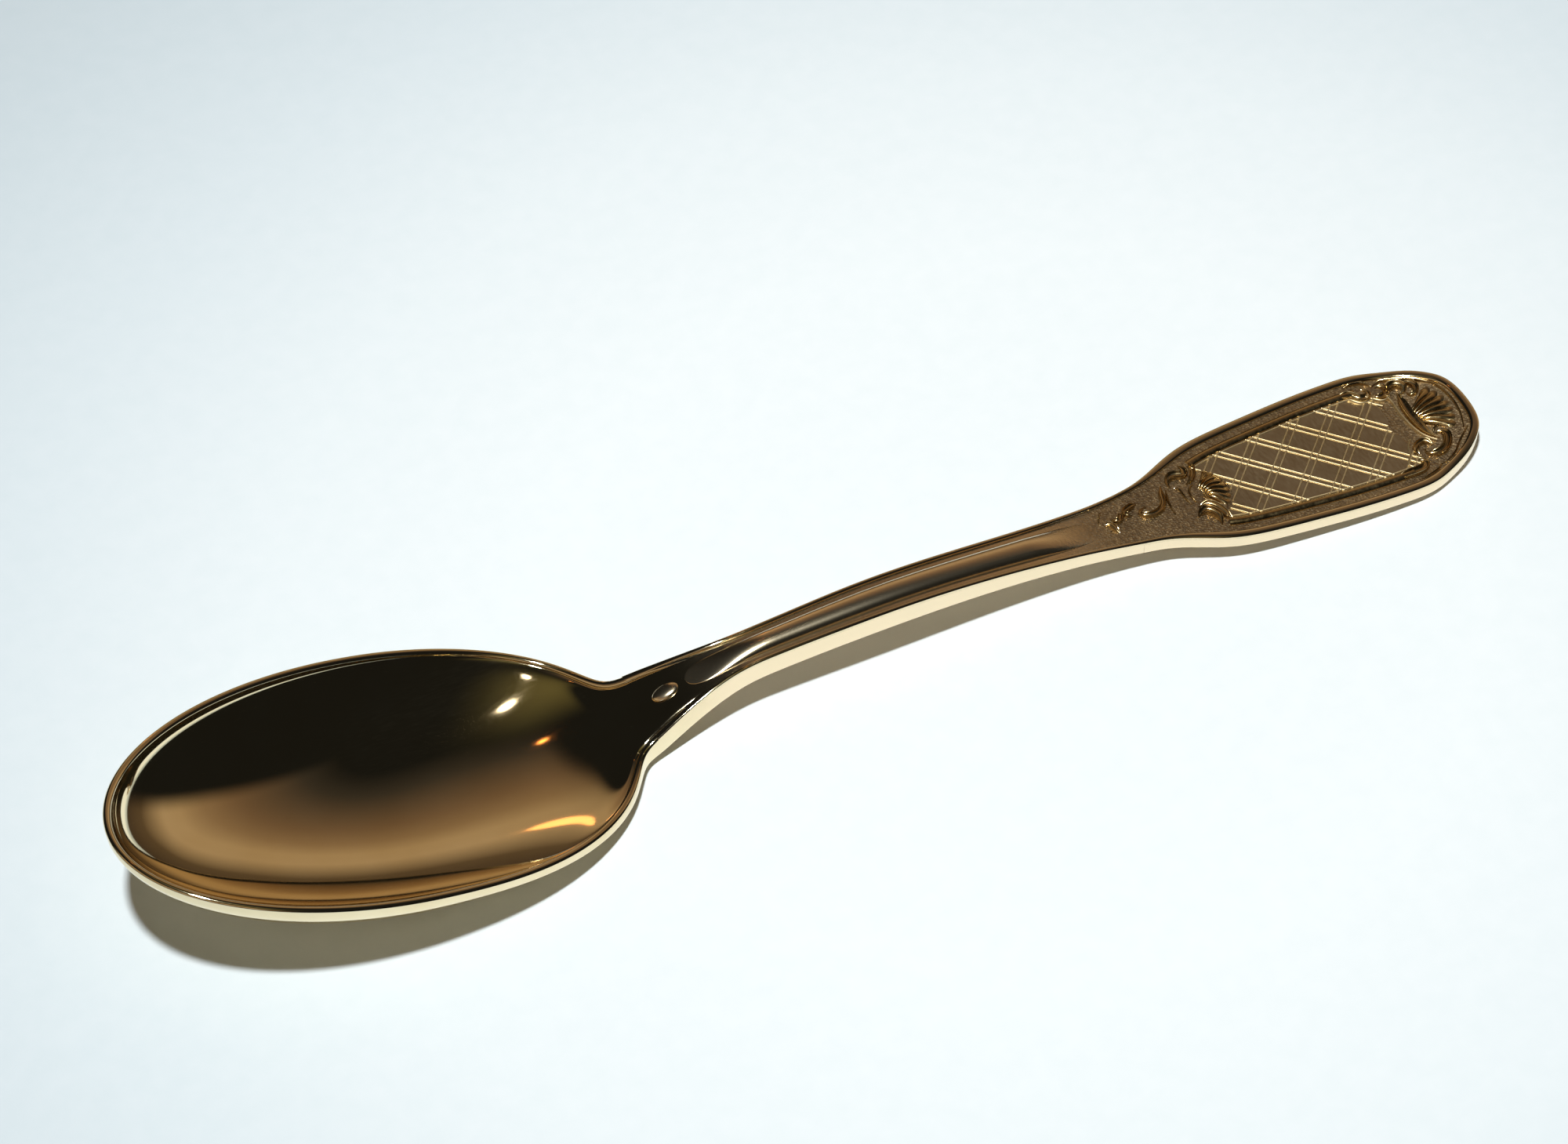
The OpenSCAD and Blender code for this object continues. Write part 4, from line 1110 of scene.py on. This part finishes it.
lamp("key", 100, 14.9, "#F5FCFF", (-144, -125, 1195))
lamp("window", 38, 0.022, "#FFF6E6", (133, 262, 1163), (-29, 7, 2))
lamp("warm", 26, 0.008, "#FFA050", (79, 581, 1047), (-28, 2, 2))
lamp("low_warm", 60, 0.02, "#FFA860", (177, 1067, 491), (-32, -9, 3))

# %% [markdown]
# ## The room
# A mirror has no look of its own: what the bowl shows is the room. The photograph's room is dark
# overhead, with a brown wall on the far side, a lighter one behind the camera and a dim olive strip
# of ceiling. Boxes round the scene could stand for them, but they would block the lamps, so the
# world's own colour changes with the direction instead. The camera itself sees an even pale horizon.

# %% Helpers for the room
world = bpy.data.worlds.new("room")
bpy.context.scene.world = world
world.use_nodes = True
tree = world.node_tree
tree.nodes.clear()
direction = add(tree, "ShaderNodeTexCoord").outputs["Generated"]
axes = add(tree, "ShaderNodeSeparateXYZ", {"Vector": direction}).outputs
bearing = add(tree, "ShaderNodeMath", {0: axes["X"], 1: axes["Y"]}, operation="ARCTAN2").outputs["Value"]


def patch(*edges):
    """A piece of the room: 1 inside, 0 outside. An edge is a direction, where it is out and where in."""
    inside = None
    for source, out_at, in_at in edges:
        part = add(tree, "ShaderNodeMapRange", {
            "Value": source, "From Min": min(out_at, in_at), "From Max": max(out_at, in_at),
            "To Min": float(out_at > in_at), "To Max": float(out_at < in_at)}, **SOFT).outputs["Result"]
        if inside:
            part = add(tree, "ShaderNodeMath", {0: inside, 1: part}, operation="MULTIPLY").outputs["Value"]
        inside = part
    return inside


def sector(start, stop, soft):
    """The two edges of a wall, as bearings in degrees from +Y toward +X, and how soft they are."""
    a, b, c, d = (math.radians(v) for v in (start - soft, start, stop + soft, stop))
    return (bearing, a, b), (bearing, c, d)


print("the room's directions:", [s.name for s in axes])

# %% Room
DARK, OLIVE = (0.01, 0.01, 0.009, 1), (0.13, 0.112, 0.045, 1)
# Each row is the upward part of a direction and the wall's colour there, in linear light.
FAR_WALL = [(0.0, (0.06, 0.04, 0.025, 1)), (0.2, (0.1, 0.067, 0.037, 1)), (0.3, (0.24, 0.17, 0.1, 1)),
            (0.4, (0.39, 0.28, 0.165, 1)), (0.5, (0.38, 0.27, 0.155, 1)), (0.6, (0.25, 0.165, 0.093, 1)),
            (0.7, (0.165, 0.105, 0.062, 1)), (0.8, (0.09, 0.062, 0.041, 1)),
            (0.86, (0.04, 0.033, 0.026, 1)), (0.92, DARK)]
NEAR_WALL = [(0.3, (0.06, 0.045, 0.03, 1)), (0.4, (0.44, 0.34, 0.22, 1)), (0.62, (0.36, 0.27, 0.17, 1)),
             (0.8, (0.13, 0.09, 0.06, 1)), (0.9, DARK)]
# Each row is an axis, where the strip has ended on it and where it is full.
STRIP = [("X", -0.16, 0.0), ("X", 0.24, 0.02), ("Y", -0.64, -0.35), ("Y", 0.46, 0.2), ("Z", 0.7, 0.9)]
far_tone = add(tree, "ShaderNodeValToRGB", {"Fac": axes["Z"]}, FAR_WALL).outputs["Color"]
near_tone = add(tree, "ShaderNodeValToRGB", {"Fac": axes["Z"]}, NEAR_WALL).outputs["Color"]
near = patch(*sector(-160, -70, 15))
far = patch(*sector(12, 80, 14), (axes["X"], 0.05, 0.1))
strip = patch(*((axes[axis], out_at, in_at) for axis, out_at, in_at in STRIP))
tone = DARK
for amount, colour in ((near, near_tone), (far, far_tone), (strip, OLIVE)):
    tone = add(tree, "ShaderNodeMix", {0: amount, 6: tone, 7: colour}, data_type="RGBA").outputs[2]
seen = add(tree, "ShaderNodeLightPath").outputs["Is Camera Ray"]
tone = add(tree, "ShaderNodeMix", {0: seen, 6: tone, 7: linear("#EDF3F6")}, data_type="RGBA").outputs[2]
back = add(tree, "ShaderNodeBackground", {"Color": tone, "Strength": 1.0})
add(tree, "ShaderNodeOutputWorld", {"Surface": back.outputs["Background"]})
print("nodes in the room:", len(tree.nodes))

# %% [markdown]
# ## The camera
# The photograph looks down at about 50 degrees from the bowl's side, through a long lens. A camera
# set by eye would do for a picture, but the render and the photograph have to be laid over each other
# to be compared, so its place, aim, lens and roll were fitted to the spoon's outline.

# %% Camera
CAMERA_AT, AIM, ROLL, LENS = Vector((-108.0, -241.4, 320.9)), Vector((-0.79, 7.56, 5.0)), -2.52, 101.12
deselect()
bpy.ops.object.camera_add()
camera = bpy.context.object
bpy.context.scene.camera = camera
camera.location = CAMERA_AT * MM
camera.rotation_mode = "QUATERNION"
camera.rotation_quaternion = ((AIM - CAMERA_AT).to_track_quat("-Z", "Y")
                              @ Matrix.Rotation(math.radians(ROLL), 3, "Z").to_quaternion())
camera.data.sensor_width = 36
camera.data.lens = LENS
camera.data.clip_start, camera.data.clip_end = 0.01, 20
bpy.context.scene.view_settings.view_transform = "Standard"
print("the camera is", round((AIM - CAMERA_AT).length), "mm away")
